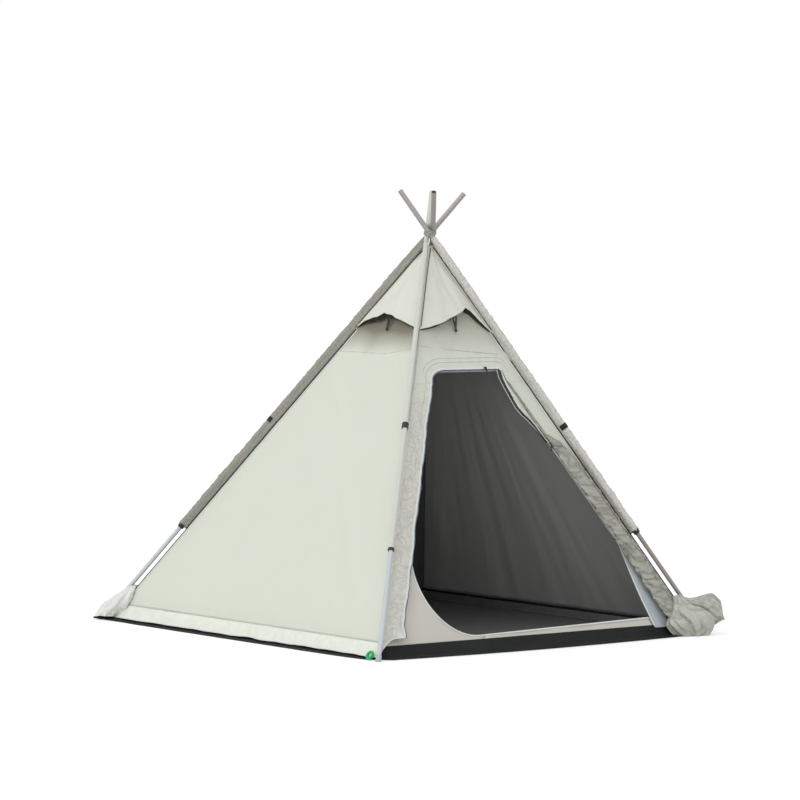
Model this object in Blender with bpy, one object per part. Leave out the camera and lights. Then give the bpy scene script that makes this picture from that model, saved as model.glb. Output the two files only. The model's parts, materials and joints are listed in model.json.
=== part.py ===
"""Pyramid tent on four outside poles, in metres, +Z up.

The origin is on the ground, in the middle of the four pole feet, and the doorway faces -Y. A wall point is given
by u, its place along the wall from the wall's middle, its height z, and d, how far it stands out from the cloth.
"""

import math

import bmesh
import bpy
from mathutils import Matrix, Vector

UP = Vector((0, 0, 1))

# Poles
BASE_SIDE = 2.400
CROSSING_HEIGHT = 2.200
LEAN_X = 0.086
LEAN_Y = -0.074
POLE_OVERSHOOT = 0.290
POLE_RADIUS = 0.0140
POLE_WALL = 0.0015
POLE_CLEARANCE = 0.0003
LEG_WALL = 0.0012
SLIDE_GAP = 0.0003
LEG_SHOWN = 0.690
LEG_INSIDE = 0.300
LEG_END_LIFT = 0.018
COLLAR_LENGTH = 0.016
COLLAR_WALL = 0.0035
FOOT_LENGTH = 0.036
FOOT_WALL = 0.0030
TIP_LENGTH = 0.022
TIP_RECESS = 0.002
ROUND_SIDES = 20

# Cloth
TOUCH_GAP = 0.0003
CLOTH = 0.0025
RIDGE_GAP = 0.032
SKIRT_TOP = 0.085
SKIRT_FOOT = 0.009
VENT_DROP = 0.488
HEADER_DEPTH = 0.203
DOOR_MARGIN_LEFT = 0.142
DOOR_MARGIN_RIGHT = 0.125
DOOR_ROUNDING = 0.070
DOOR_SHOULDER = 0.085
DOOR_FOOT = 0.055
INNER_GAP = 0.030
INNER_CLOTH = 0.002
INNER_MARGIN_LEFT = 0.150
INNER_MARGIN_RIGHT = 0.105
INNER_SILL = 0.018
INNER_ROUNDING_LEFT = 0.360
INNER_ROUNDING_RIGHT = 0.120
INNER_DOOR_DROP = 0.010
INNER_TOP_DROP = 0.030

# Vent cap
CAP_GAP = 0.0035
CAP_CLOTH = 0.002
CAP_BULGE = 0.040
CAP_ARCH = 0.105
CAP_TOP_HALF = 0.030
PROP_BALL = 0.008
PROP_PLATE = 0.004
PROP_SPREAD = 0.022
PROP_STEM = 0.006
PROP_REACH = 0.04

# Groundsheet
SHEET_THICKNESS = 0.003
RIM_HEIGHT = 0.062
LIP_OUT = 0.030
LIP_HEIGHT = 0.010
FRONT_BULGE = 0.055
CORNER_CUT = 0.070

# Sleeves and what holds the cloth to the poles
SLEEVE_RADIUS = 0.0205
SLEEVE_PUCKER = 0.0014
SLEEVE_TOP_GAP = 0.055
SLEEVE_SIDES = 12
SLEEVE_RINGS = 40
BORE_RINGS = 10
BAND_HEIGHT = 1.140
BAND_WIDTH = 0.030
BAND_THICKNESS = 0.0022
CLIP_HEIGHT = 1.170
CLIP_LENGTH = 0.034
CLIP_THICKNESS = 0.004
CORD_RADIUS = 0.0025
LASHING_TURNS = 3
LASHING_POINTS = 32
BALL_RADIUS = 0.016
PEAK_CORD_RADIUS = 0.0016
PEAK_DISC_RADIUS = 0.030
PEAK_DISC_THICKNESS = 0.004

CROSSING = Vector((LEAN_X, LEAN_Y, CROSSING_HEIGHT))
ROUNDNESS = math.cos(math.pi / ROUND_SIDES)
LEG_RADIUS = (POLE_RADIUS - POLE_WALL) * ROUNDNESS - SLIDE_GAP

CORNERS = {"door_left": (-1, -1), "door_right": (1, -1), "back_right": (1, 1), "back_left": (-1, 1)}
SIDES = {
    "front": ("door_left", "door_right"),
    "right": ("door_right", "back_right"),
    "back": ("back_right", "back_left"),
    "left": ("back_left", "door_left"),
}
SIDE_NAMES = list(SIDES)
SLEEVED = ("door_right", "back_right", "back_left")

FINISHES = {
    "white_tube": ((0.80, 0.80, 0.76), 0.40, 0.2),
    "grey_tube": ((0.52, 0.56, 0.60), 0.35, 0.8),
    "black_plastic": ((0.025, 0.025, 0.028), 0.50, 0.0),
    "grey_plastic": ((0.45, 0.48, 0.50), 0.50, 0.0),
    "green_plastic": ((0.02, 0.45, 0.12), 0.45, 0.0),
    "cream_cloth": ((0.72, 0.75, 0.66), 0.85, 0.0),
    "sleeve_cloth": ((0.40, 0.39, 0.33), 0.85, 0.0),
    "inner_cloth": ((0.30, 0.29, 0.27), 0.85, 0.0),
    "mesh_cloth": ((0.05, 0.05, 0.05), 0.90, 0.0),
    "groundsheet": ((0.020, 0.024, 0.024), 0.60, 0.0),
    "white_cord": ((0.75, 0.74, 0.68), 0.80, 0.0),
}


# Blender helpers


def clear_scene():
    for obj in list(bpy.data.objects):
        bpy.data.objects.remove(obj, do_unlink=True)


def material(kind):
    found = bpy.data.materials.get(kind)
    if found:
        return found
    colour, roughness, metallic = FINISHES[kind]
    made = bpy.data.materials.new(kind)
    made.use_nodes = True
    shader = made.node_tree.nodes["Principled BSDF"]
    shader.inputs["Base Color"].default_value = (*colour, 1)
    shader.inputs["Roughness"].default_value = roughness
    shader.inputs["Metallic"].default_value = metallic
    made.diffuse_color = (*colour, 1)
    return made


def finish_object(name, mesh, kind, place=None, smooth=False):
    """Turn a bmesh into a named object; with place, the mesh is in that frame and so is the object's origin."""
    bmesh.ops.recalc_face_normals(mesh, faces=mesh.faces)
    data = bpy.data.meshes.new(name)
    mesh.to_mesh(data)
    mesh.free()
    if smooth:
        data.shade_smooth()
        data.set_sharp_from_angle(angle=math.radians(40))
    data.materials.append(material(kind))
    obj = bpy.data.objects.new(name, data)
    bpy.context.scene.collection.objects.link(obj)
    if place is not None:
        obj.matrix_world = place
    return obj


def loft(name, rings, kind, place=None, hollow=False, smooth=True):
    """A solid through rings of equal counts of points: closed by flat ends, or run round into itself if hollow."""
    mesh = bmesh.new()
    loops = []
    for ring in rings:
        loops.append([mesh.verts.new(point) for point in ring])
    pairs = list(zip(loops, loops[1:]))
    if hollow:
        pairs.append((loops[-1], loops[0]))
    count = len(rings[0])
    for lower, upper in pairs:
        for i in range(count):
            j = (i + 1) % count
            mesh.faces.new((lower[i], lower[j], upper[j], upper[i]))
    if not hollow:
        mesh.faces.new(loops[0][::-1])
        mesh.faces.new(loops[-1])
    return finish_object(name, mesh, kind, place, smooth)


def circle(radius, height, sides):
    turns = [2 * math.pi * i / sides for i in range(sides)]
    return [Vector((radius * math.cos(a), radius * math.sin(a), height)) for a in turns]


def turned(name, profile, kind, place, hollow=True, sides=ROUND_SIDES):
    """A turned piece from its (radius, height) profile, about the frame's Z."""
    return loft(name, [circle(r, z, sides) for r, z in profile], kind, place, hollow)


def cut(obj, cutter, operation="DIFFERENCE"):
    """Cut the object with another, which is then left out of the model."""
    step = obj.modifiers.new("Cut", "BOOLEAN")
    step.operation = operation
    step.object = cutter
    cutter.hide_render = True
    cutter.display_type = "WIRE"


def rounded(points, radii, steps=6):
    """A closed outline with each corner replaced by an arc of its radius."""
    outline = []
    for i, corner in enumerate(points):
        here = Vector(corner)
        before = (Vector(points[i - 1]) - here).normalized()
        after = (Vector(points[(i + 1) % len(points)]) - here).normalized()
        if radii[i] == 0:
            outline.append(tuple(here))
            continue
        half = before.angle(after) / 2
        middle = here + (before + after).normalized() * radii[i] / math.sin(half)
        first = here + before * radii[i] / math.tan(half) - middle
        last = here + after * radii[i] / math.tan(half) - middle
        for k in range(steps + 1):
            turn = first.slerp(last, k / steps) * radii[i]
            outline.append(tuple(middle + turn))
    return outline


# The frame of a pole, and of a wall


class Pole:
    """A pole's line: it starts on the ground and passes just beside the crossing. Local +X points to the cloth."""

    def __init__(self, corner):
        sign_x, sign_y = CORNERS[corner]
        self.foot = Vector((sign_x, sign_y, 0)) * BASE_SIDE / 2
        aside = (CROSSING - self.foot).cross(UP).normalized()
        head = CROSSING - aside * CROSSING_OFFSETS[corner]
        self.reach = (head - self.foot).length
        self.axis = (head - self.foot).normalized()
        self.length = self.reach + POLE_OVERSHOOT
        inward = (self.axis * self.axis.z - UP).normalized()
        self.inward = inward
        sideways = self.axis.cross(inward)
        turn = Matrix((inward, sideways, self.axis)).transposed()
        self.frame = Matrix.Translation(self.foot) @ turn.to_4x4()

    def at(self, distance):
        return self.foot + self.axis * distance

    def at_height(self, height):
        return height / self.axis.z


class Wall:
    """One side of the cloth pyramid, or of a shape that stands out from it by d."""

    def __init__(self, side):
        first, last = SIDES[side]
        a = cloth_corner(first)
        b = cloth_corner(last)
        self.side = side
        self.middle = (a + b) / 2
        self.along = (b - a).normalized()
        self.half = (b - a).length / 2
        self.inward = UP.cross(self.along)
        self.run = (PEAK - self.middle).dot(self.inward) / PEAK.z
        self.slant = math.sqrt(1 + self.run**2)
        self.normal = (UP * self.run - self.inward).normalized()

    def depth(self, z, d):
        return self.run * z - d * self.slant

    def point(self, u, z, d=0.0):
        return self.middle + self.along * u + self.inward * self.depth(z, d) + UP * z

    def ends(self, z, d=0.0):
        """The u of this wall's two ridges."""
        index = SIDE_NAMES.index(self.side)
        before = WALLS[SIDE_NAMES[index - 1]]
        after = WALLS[SIDE_NAMES[(index + 1) % 4]]
        return before.depth(z, d) - self.half, self.half - after.depth(z, d)


def cloth_corner(corner):
    sign_x, sign_y = CORNERS[corner]
    half = BASE_SIDE / 2 - RIDGE_GAP / (FIRST_POLE.axis.z * math.sqrt(2))
    return Vector((sign_x, sign_y, 0)) * half


def ridge_point(corner, z, d=0.0):
    for side, (first, _) in SIDES.items():
        if first == corner:
            wall = WALLS[side]
            return wall.point(wall.ends(z, d)[0], z, d)
    return None


def outside_offset(inside):
    """How far from the crossing a pole passes that lies against two neighbours, which pass it at the inside offset."""
    needed = 0.0
    for corner in ("door_right", "back_left"):
        for other in ("door_left", "back_right"):
            lines = [CROSSING - Vector((*CORNERS[name], 0)) * BASE_SIDE / 2 for name in (corner, other)]
            between = lines[0].cross(lines[1]).normalized()
            shares = [abs(line.cross(UP).normalized().dot(between)) for line in lines]
            needed = max(needed, (POLE_RADIUS * 2 + POLE_CLEARANCE - inside * shares[1]) / shares[0])
    return needed


# The pole axes pass beside the crossing point, so that neighbouring tubes lie against each other. Two opposite
# poles leave room for the peak's cord between them, and the other two lie outside both.
SMALL_OFFSET = POLE_RADIUS + PEAK_CORD_RADIUS + TOUCH_GAP
LARGE_OFFSET = outside_offset(SMALL_OFFSET)
CROSSING_OFFSETS = {
    "door_left": SMALL_OFFSET,
    "back_right": SMALL_OFFSET,
    "door_right": LARGE_OFFSET,
    "back_left": LARGE_OFFSET,
}
POLES = {corner: Pole(corner) for corner in CORNERS}
FIRST_POLE = POLES["door_left"]
PEAK = CROSSING - UP * RIDGE_GAP / math.sqrt(1 - FIRST_POLE.axis.z**2)
WALLS = {}
for side_name in SIDE_NAMES:
    WALLS[side_name] = Wall(side_name)

VENT_SILL = PEAK.z - VENT_DROP
DOOR_TOP = VENT_SILL - HEADER_DEPTH
COLLAR_PLACE = LEG_SHOWN


# Poles


def pole_tube(corner, pole):
    start = COLLAR_PLACE
    bore = POLE_RADIUS - POLE_WALL
    profile = [(POLE_RADIUS, start), (POLE_RADIUS, pole.length), (bore, pole.length), (bore, start)]
    turned(f"pole_{corner}_tube", profile, "white_tube", pole.frame)


def pole_leg(corner, pole):
    bore = LEG_RADIUS - LEG_WALL
    low = LEG_END_LIFT
    high = COLLAR_PLACE + LEG_INSIDE
    profile = [(LEG_RADIUS, low), (LEG_RADIUS, high), (bore, high), (bore, low)]
    turned(f"pole_{corner}_leg", profile, "grey_tube", pole.frame)


def pole_collar(corner, pole):
    """A bush on the tube's lower end: it grips the tube and guides the leg."""
    low = COLLAR_PLACE - COLLAR_LENGTH / 2
    high = COLLAR_PLACE + COLLAR_LENGTH / 2
    seat = COLLAR_PLACE - TOUCH_GAP
    grip = (POLE_RADIUS + TOUCH_GAP) / ROUNDNESS
    guide = (LEG_RADIUS + TOUCH_GAP) / ROUNDNESS
    outside = grip + COLLAR_WALL
    edge = COLLAR_WALL / 2
    profile = [
        (outside - edge, low),
        (outside, low + edge),
        (outside, high - edge),
        (outside - edge, high),
        (grip, high),
        (grip, seat),
        (guide, seat),
        (guide, low),
    ]
    turned(f"pole_{corner}_collar", profile, "black_plastic", pole.frame)


def pole_foot(corner, pole):
    """A plastic boot on the leg, cut flat on the ground."""
    socket = (LEG_RADIUS + TOUCH_GAP) / ROUNDNESS
    outside = socket + FOOT_WALL
    under = -outside * 2
    floor = LEG_END_LIFT - TOUCH_GAP
    top = FOOT_LENGTH
    edge = FOOT_WALL / 2
    rings = [
        circle(outside, under, ROUND_SIDES),
        circle(outside, top - edge, ROUND_SIDES),
        circle(outside - edge, top, ROUND_SIDES),
        circle(socket, top, ROUND_SIDES),
        circle(socket, floor, ROUND_SIDES),
    ]
    boot = loft(f"pole_{corner}_foot", rings, "grey_plastic", pole.frame)
    ground = bmesh.new()
    bmesh.ops.create_cube(ground, size=0.2)
    below = Matrix.Translation(pole.foot - UP * 0.1)
    cut(boot, finish_object(f"ground_{corner}", ground, "black_plastic", below))


def pole_tip(corner, pole):
    """The plug in the upper end of the tube."""
    radius = (POLE_RADIUS - POLE_WALL) * ROUNDNESS - TOUCH_GAP
    high = pole.length - TIP_RECESS
    low = high - TIP_LENGTH
    profile = [(radius, low), (radius, high - TIP_RECESS), (radius - TIP_RECESS, high)]
    turned(f"pole_{corner}_tip", profile, "black_plastic", pole.frame, hollow=False)


# Sleeves, bands and the clip


def sleeve_radius(distance, angle, band_place):
    """The puckered outline of a sleeve, drawn in where the band holds it."""
    if abs(distance - band_place) < BAND_WIDTH:
        return SLEEVE_RADIUS - SLEEVE_PUCKER
    slow = math.sin(distance * 61 + 2 * math.sin(angle))
    quick = math.sin(distance * 143 + 3 * angle)
    return SLEEVE_RADIUS + SLEEVE_PUCKER * (0.6 * slow + 0.4 * quick)


def keel_tip(corner, pole, distance):
    """The end of a sleeve's web, which just meets the ridge of the cloth under it."""
    centre = pole.at(distance)
    covered = centre.z > VENT_SILL - 0.05
    d = CAP_GAP + CAP_CLOTH if covered else 0.0
    low = ridge_point(corner, SKIRT_TOP, d)
    slope = (ridge_point(corner, VENT_SILL, d) - low).normalized()
    nearest = low + slope * (centre - low).dot(slope)
    back = (centre - nearest).normalized()
    return nearest + back * TOUCH_GAP * 1.5


def pole_sleeve(corner, pole):
    low = COLLAR_PLACE + COLLAR_LENGTH / 2 + TOUCH_GAP
    high = pole.reach - SLEEVE_TOP_GAP
    band_place = pole.at_height(BAND_HEIGHT)
    step = (high - low) / (SLEEVE_RINGS - 1)
    places = [low + step * i for i in range(SLEEVE_RINGS)]
    places = [place for place in places if abs(place - band_place) > BAND_WIDTH * 1.2]
    places = sorted([*places, band_place - BAND_WIDTH * 0.7, band_place + BAND_WIDTH * 0.7])
    outer = []
    for distance in places:
        centre = pole.at(distance)
        tip = keel_tip(corner, pole, distance)
        toward = (tip - centre).normalized()
        across = pole.axis.cross(toward)
        ring = [tip]
        for i in range(1, SLEEVE_SIDES):
            angle = 2 * math.pi * i / SLEEVE_SIDES
            radius = sleeve_radius(distance, angle, band_place)
            ring.append(centre + (toward * math.cos(angle) + across * math.sin(angle)) * radius)
        outer.append(ring)
    bore = (POLE_RADIUS + TOUCH_GAP * 2) / math.cos(math.pi / SLEEVE_SIDES)
    inner = []
    for step in range(BORE_RINGS):
        distance = high + (low - high) * step / (BORE_RINGS - 1)
        centre = pole.at(distance)
        toward = (keel_tip(corner, pole, distance) - centre).normalized()
        across = pole.axis.cross(toward)
        turns = [2 * math.pi * i / SLEEVE_SIDES for i in range(SLEEVE_SIDES)]
        inner.append([centre + (toward * math.cos(a) + across * math.sin(a)) * bore for a in turns])
    loft(f"sleeve_{corner}", outer + inner, "sleeve_cloth", hollow=True)


def open_band(name, pole, place, width, bore, thickness, half_angle, kind):
    """A band that goes round the outer side of a pole and leaves its inner side free."""
    steps = 14
    bore = bore / math.cos(half_angle / steps)
    outside = bore + thickness
    sections = []
    for i in range(steps + 1):
        angle = math.pi - half_angle + 2 * half_angle * i / steps
        direction = Vector((math.cos(angle), math.sin(angle), 0))
        low = place - width / 2
        high = place + width / 2
        corners = [(bore, low), (outside, low), (outside, high), (bore, high)]
        sections.append([direction * r + UP * z for r, z in corners])
    return loft(name, sections, kind, pole.frame, smooth=False)


def sleeve_band(corner, pole):
    bore = SLEEVE_RADIUS - SLEEVE_PUCKER + TOUCH_GAP
    place = pole.at_height(BAND_HEIGHT)
    half_angle = math.radians(112)
    open_band(f"band_{corner}", pole, place, BAND_WIDTH, bore, BAND_THICKNESS, half_angle, "black_plastic")


def front_clip(pole):
    """The hook that holds the front ridge to the bare pole: an open ring and a tab."""
    place = pole.at_height(CLIP_HEIGHT)
    bore = POLE_RADIUS + TOUCH_GAP
    half_angle = math.radians(150)
    clip = open_band("front_clip", pole, place, CLIP_LENGTH, bore, CLIP_THICKNESS, half_angle, "black_plastic")
    tip = pole.frame.inverted() @ keel_tip("door_left", pole, place)
    start = Vector((bore, 0, place))
    tab = bmesh.new()
    sections = []
    for share in (0.0, 1.0):
        centre = start.lerp(Vector((tip.x, tip.y, place)), share)
        half = (bore + CLIP_THICKNESS * 0.75) * math.sin(math.pi - half_angle)
        half = half * (1 - share) + CLIP_THICKNESS / 4 * share
        rise = CLIP_LENGTH / 2 - 0.004
        corners = ((-half, -rise), (half, -rise), (half, rise), (-half, rise))
        sections.append([tab.verts.new(centre + Vector((0, y, z))) for y, z in corners])
    for i in range(4):
        j = (i + 1) % 4
        tab.faces.new((sections[0][i], sections[0][j], sections[1][j], sections[1][i]))
    tab.faces.new(sections[0][::-1])
    tab.faces.new(sections[1])
    cut(clip, finish_object("front_clip_tab", tab, "black_plastic", pole.frame), "UNION")


# The crossing


def bundle_reach(height):
    """For each direction round the crossing, how far out a cord lies when it is pulled tight round the tubes."""
    rim = []
    for pole in POLES.values():
        stretch = 1 / pole.axis.z
        plan = Vector((pole.axis.x, pole.axis.y, 0)).normalized()
        side = plan.cross(UP)
        for level in (height - CORD_RADIUS, height + CORD_RADIUS):
            centre = pole.at(pole.at_height(level)) - CROSSING
            for i in range(LASHING_POINTS):
                angle = 2 * math.pi * i / LASHING_POINTS
                rim.append(centre + (plan * math.cos(angle) * stretch + side * math.sin(angle)) * POLE_RADIUS)
    turns = [2 * math.pi * i / LASHING_POINTS for i in range(LASHING_POINTS)]
    normals = [Vector((math.cos(a), math.sin(a), 0)) for a in turns]
    limits = [max(point.dot(normal) for point in rim) + CORD_RADIUS + TOUCH_GAP for normal in normals]
    chord = math.cos(math.pi / LASHING_POINTS)
    reaches = []
    for direction in normals:
        facing = [(normal.dot(direction), limit) for normal, limit in zip(normals, limits)]
        reaches.append(min(limit / share for share, limit in facing if share > 0.1) / chord)
    return reaches


def lashing():
    """Turns of cord round the crossing, as one unbroken tube."""
    pitch = CORD_RADIUS * 2 + 0.0008
    low = CROSSING_HEIGHT - pitch * LASHING_TURNS / 2
    high = CROSSING_HEIGHT + pitch * LASHING_TURNS / 2
    lowest = bundle_reach(low)
    highest = bundle_reach(high)
    total = LASHING_TURNS * LASHING_POINTS
    points = []
    for i in range(total + 1):
        place = i % LASHING_POINTS
        angle = 2 * math.pi * place / LASHING_POINTS
        reach = max(lowest[place], highest[place])
        rise = low + pitch * i / LASHING_POINTS
        points.append(Vector((LEAN_X + reach * math.cos(angle), LEAN_Y + reach * math.sin(angle), rise)))
    gap = min((points[i + LASHING_POINTS] - points[i]).length for i in range(total + 1 - LASHING_POINTS))
    print(f"lashing: least gap between turns {1000 * (gap - 2 * CORD_RADIUS):.2f} mm")
    curve = bpy.data.curves.new("lashing_cord", "CURVE")
    curve.dimensions = "3D"
    curve.bevel_depth = CORD_RADIUS
    curve.bevel_resolution = 1
    curve.use_fill_caps = True
    spline = curve.splines.new("POLY")
    spline.points.add(len(points) - 1)
    for target, point in zip(spline.points, points):
        target.co = (*point, 1)
    curve.materials.append(material("white_cord"))
    obj = bpy.data.objects.new("lashing_cord", curve)
    bpy.context.scene.collection.objects.link(obj)


def peak_height(half):
    """Where the cap has narrowed to this half width."""
    front = WALLS["front"]
    low, high = front.ends(VENT_SILL, CAP_GAP)
    wide = (high - low) / 2
    low, high = front.ends(PEAK.z, CAP_GAP)
    narrow = (high - low) / 2
    share = (wide - half) / (wide - narrow)
    return VENT_SILL + (PEAK.z - VENT_SILL) * share


def peak_toggle():
    """The cord that holds up the peak of the cloth: a disc under it, and a ball that sits on the crossing."""
    slope = math.sqrt(1 - FIRST_POLE.axis.z**2)
    apart = POLE_RADIUS + BALL_RADIUS + TOUCH_GAP
    rise = math.sqrt(apart**2 - SMALL_OFFSET**2) / slope
    ball = CROSSING_HEIGHT + rise
    disc = peak_height(CAP_TOP_HALF) + CAP_CLOTH + TOUCH_GAP
    rings = [
        circle(PEAK_DISC_RADIUS, disc, 16),
        circle(PEAK_DISC_RADIUS, disc + PEAK_DISC_THICKNESS, 16),
        circle(PEAK_CORD_RADIUS, disc + PEAK_DISC_THICKNESS * 2, 16),
        circle(PEAK_CORD_RADIUS, ball - BALL_RADIUS * 0.975, 16),
    ]
    for turn in range(-60, 90, 20):
        angle = math.radians(turn)
        rings.append(circle(BALL_RADIUS * math.cos(angle), ball + BALL_RADIUS * math.sin(angle), 16))
    loft("peak_toggle", rings, "black_plastic", Matrix.Translation((LEAN_X, LEAN_Y, 0)))


# Flat cloth


def slab(name, wall, outline, inner, outer, kind):
    """A flat piece of cloth in a wall. Where the outline gives "a" or "b" for u, it ends at that ridge."""
    mesh = bmesh.new()
    loops = []
    for d in (inner, outer):
        loop = []
        for u, z in outline:
            if u in ("a", "b"):
                low, high = wall.ends(z, d)
                place = low + TOUCH_GAP / 2 if u == "a" else high - TOUCH_GAP / 2
            else:
                place = u
            loop.append(mesh.verts.new(wall.point(place, z, d)))
        loops.append(loop)
    count = len(outline)
    for i in range(count):
        j = (i + 1) % count
        mesh.faces.new((loops[0][i], loops[0][j], loops[1][j], loops[1][i]))
    mesh.faces.new(loops[0][::-1])
    mesh.faces.new(loops[1])
    return finish_object(name, mesh, kind)


def full_width(low, high):
    return [("a", low), ("b", low), ("b", high), ("a", high)]


def outer_walls():
    for side in ("left", "back", "right"):
        wall = WALLS[side]
        low = SKIRT_TOP + TOUCH_GAP
        slab(f"wall_{side}", wall, full_width(low, VENT_SILL), -CLOTH, 0, "cream_cloth")
        slab(f"skirt_{side}", wall, full_width(SKIRT_FOOT, SKIRT_TOP), -CLOTH, 0, "cream_cloth")


def door_edges(z, d=0.0):
    low, high = WALLS["front"].ends(z, d)
    return low + DOOR_MARGIN_LEFT, high - DOOR_MARGIN_RIGHT


def door_wall():
    """The front wall: a strip on each side of the doorway, and the part over it with the rounded top."""
    wall = WALLS["front"]
    shoulder = DOOR_TOP - DOOR_SHOULDER
    under = shoulder - TOUCH_GAP
    foot_left, foot_right = door_edges(DOOR_FOOT)
    left, right = door_edges(under)
    strip = [("a", DOOR_FOOT), (foot_left, DOOR_FOOT), (left, under), ("a", under)]
    slab("door_wall_left", wall, strip, -CLOTH, 0, "cream_cloth")
    strip = [(foot_right, DOOR_FOOT), ("b", DOOR_FOOT), ("b", under), (right, under)]
    slab("door_wall_right", wall, strip, -CLOTH, 0, "cream_cloth")
    left, right = door_edges(shoulder)
    top_left, top_right = door_edges(DOOR_TOP)
    arch = rounded(
        [(left, shoulder), (top_left, DOOR_TOP), (top_right, DOOR_TOP), (right, shoulder)],
        [0, DOOR_ROUNDING, DOOR_ROUNDING, 0],
    )
    outline = [("a", shoulder), *arch, ("b", shoulder), ("b", VENT_SILL), ("a", VENT_SILL)]
    slab("door_wall_top", wall, outline, -CLOTH, 0, "cream_cloth")


def vent_mesh():
    """The netting under the cap, one piece round the four sides."""
    low = VENT_SILL + TOUCH_GAP
    high = peak_height(CAP_TOP_HALF)
    rings = []
    for z, d in ((low, 0), (high, 0), (high, -CLOTH), (low, -CLOTH)):
        rings.append([ridge_point(corner, z, d) for corner in CORNERS])
    loft("vent_mesh", rings, "mesh_cloth", hollow=True, smooth=False)


def inner_tent():
    """The inner cloth walls, and the front one with its rounded doorway."""
    low = RIM_HEIGHT + TOUCH_GAP
    outer = -INNER_GAP
    inner = outer - INNER_CLOTH
    high = PEAK.z - INNER_GAP * WALLS["front"].slant / WALLS["front"].run - INNER_TOP_DROP
    for side in ("left", "back", "right"):
        slab(f"inner_wall_{side}", WALLS[side], full_width(low, high), inner, outer, "inner_cloth")
    wall = WALLS["front"]
    front = slab("inner_wall_front", wall, full_width(low, high), inner, outer, "inner_cloth")
    sill = low + INNER_SILL
    top = DOOR_TOP - INNER_DOOR_DROP
    sill_low, sill_high = wall.ends(sill, outer)
    top_low, top_high = wall.ends(top, outer)
    corners = [
        (sill_low + INNER_MARGIN_LEFT, sill),
        (sill_high - INNER_MARGIN_RIGHT, sill),
        (top_high - INNER_MARGIN_RIGHT, top),
        (top_low + INNER_MARGIN_LEFT, top),
    ]
    radii = [INNER_ROUNDING_LEFT, INNER_ROUNDING_RIGHT, DOOR_ROUNDING, DOOR_ROUNDING]
    hole = rounded(corners, radii)
    past = 0.01
    cut(front, slab("inner_doorway_cutter", wall, hole, inner - past, outer + past, "inner_cloth"))


# Vent cap


def cap_point(wall, across, up, lift=0.0):
    """A point of the cap's inner face: across from 0 to 1 between the ridges, up from 0 at the hem to 1."""
    swell = math.sin(math.pi * across)
    hem = VENT_SILL + CAP_ARCH * swell**1.3
    z = hem + (peak_height(CAP_TOP_HALF) - hem) * up
    d = CAP_GAP + CAP_BULGE * swell * (1 - up) ** 1.5 + lift
    low, high = wall.ends(z, CAP_GAP)
    return wall.point(low + TOUCH_GAP + (high - low - 2 * TOUCH_GAP) * across, z, d)


def vent_cap():
    columns = 12
    rows = 7
    for side, wall in WALLS.items():
        mesh = bmesh.new()
        grid = []
        for j in range(rows + 1):
            row = [mesh.verts.new(cap_point(wall, i / columns, j / rows)) for i in range(columns + 1)]
            grid.append(row)
        for j in range(rows):
            for i in range(columns):
                mesh.faces.new((grid[j][i], grid[j][i + 1], grid[j + 1][i + 1], grid[j + 1][i]))
        panel = finish_object(f"cap_{side}", mesh, "cream_cloth", smooth=True)
        thick = panel.modifiers.new("Cloth", "SOLIDIFY")
        thick.thickness = CAP_CLOTH
        thick.offset = 1 if side_faces_out(panel, wall) else -1


def side_faces_out(panel, wall):
    return panel.data.polygons[0].normal.dot(wall.normal) > 0


def prop_pivot(wall):
    low, high = wall.ends(VENT_SILL)
    return wall.point((low + high) / 2, VENT_SILL + PROP_BALL, PROP_BALL + TOUCH_GAP)


def prop_top(wall):
    """The top of a strut, just inside the cap's hem across the whole width of its fork."""
    middle = cap_point(wall, 0.5, PROP_REACH)
    low, high = wall.ends(middle.z, CAP_GAP)
    share = PROP_SPREAD / (high - low)
    edges = [cap_point(wall, 0.5 + turn * share, PROP_REACH) for turn in (-1, 0, 1)]
    inside = min((edge - middle).dot(wall.normal) for edge in edges)
    return middle + wall.normal * (inside - PROP_PLATE - TOUCH_GAP * 4)


def vent_props():
    """A forked strut on each side, on a ball at the vent's sill, that holds the cap's hem out."""
    for side, wall in WALLS.items():
        pivot = prop_pivot(wall)
        rise = prop_top(wall) - pivot
        length = rise.length
        up = rise.normalized()
        out = wall.along.cross(up).normalized()
        frame = Matrix.Translation(pivot) @ Matrix((wall.along, out, up)).transposed().to_4x4()
        stem = PROP_STEM / 2
        outline = [
            (-stem, 0),
            (stem, 0),
            (PROP_SPREAD, length - stem),
            (PROP_SPREAD - stem, length),
            (0, length * 0.35),
            (stem - PROP_SPREAD, length),
            (-PROP_SPREAD, length - stem),
        ]
        rings = []
        for y in (-PROP_PLATE / 2, PROP_PLATE / 2):
            rings.append([Vector((x, y, z)) for x, z in outline])
        prop = loft(f"vent_prop_{side}", rings, "black_plastic", frame, smooth=False)
        ball = bmesh.new()
        bmesh.ops.create_uvsphere(ball, u_segments=12, v_segments=8, radius=PROP_BALL)
        cut(prop, finish_object(f"vent_prop_ball_{side}", ball, "black_plastic", frame), "UNION")


# Groundsheet


def sheet_ring(out, z, front_out):
    """The outline of the groundsheet at one height: out is how far it stands outside the cloth's foot."""
    half = WALLS["front"].half
    reach = half + out
    corner = half - CORNER_CUT
    ring = []
    for index in range(4):
        side = SIDE_NAMES[index]
        wall = WALLS[side]
        swell = front_out if side == "front" else 0.0
        for u, share in ((-corner, 0), (-corner / 2, 0.75), (0, 1), (corner / 2, 0.75), (corner, 0)):
            ring.append(wall.along * u - wall.inward * (reach + swell * share) + UP * z)
    return ring


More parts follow.
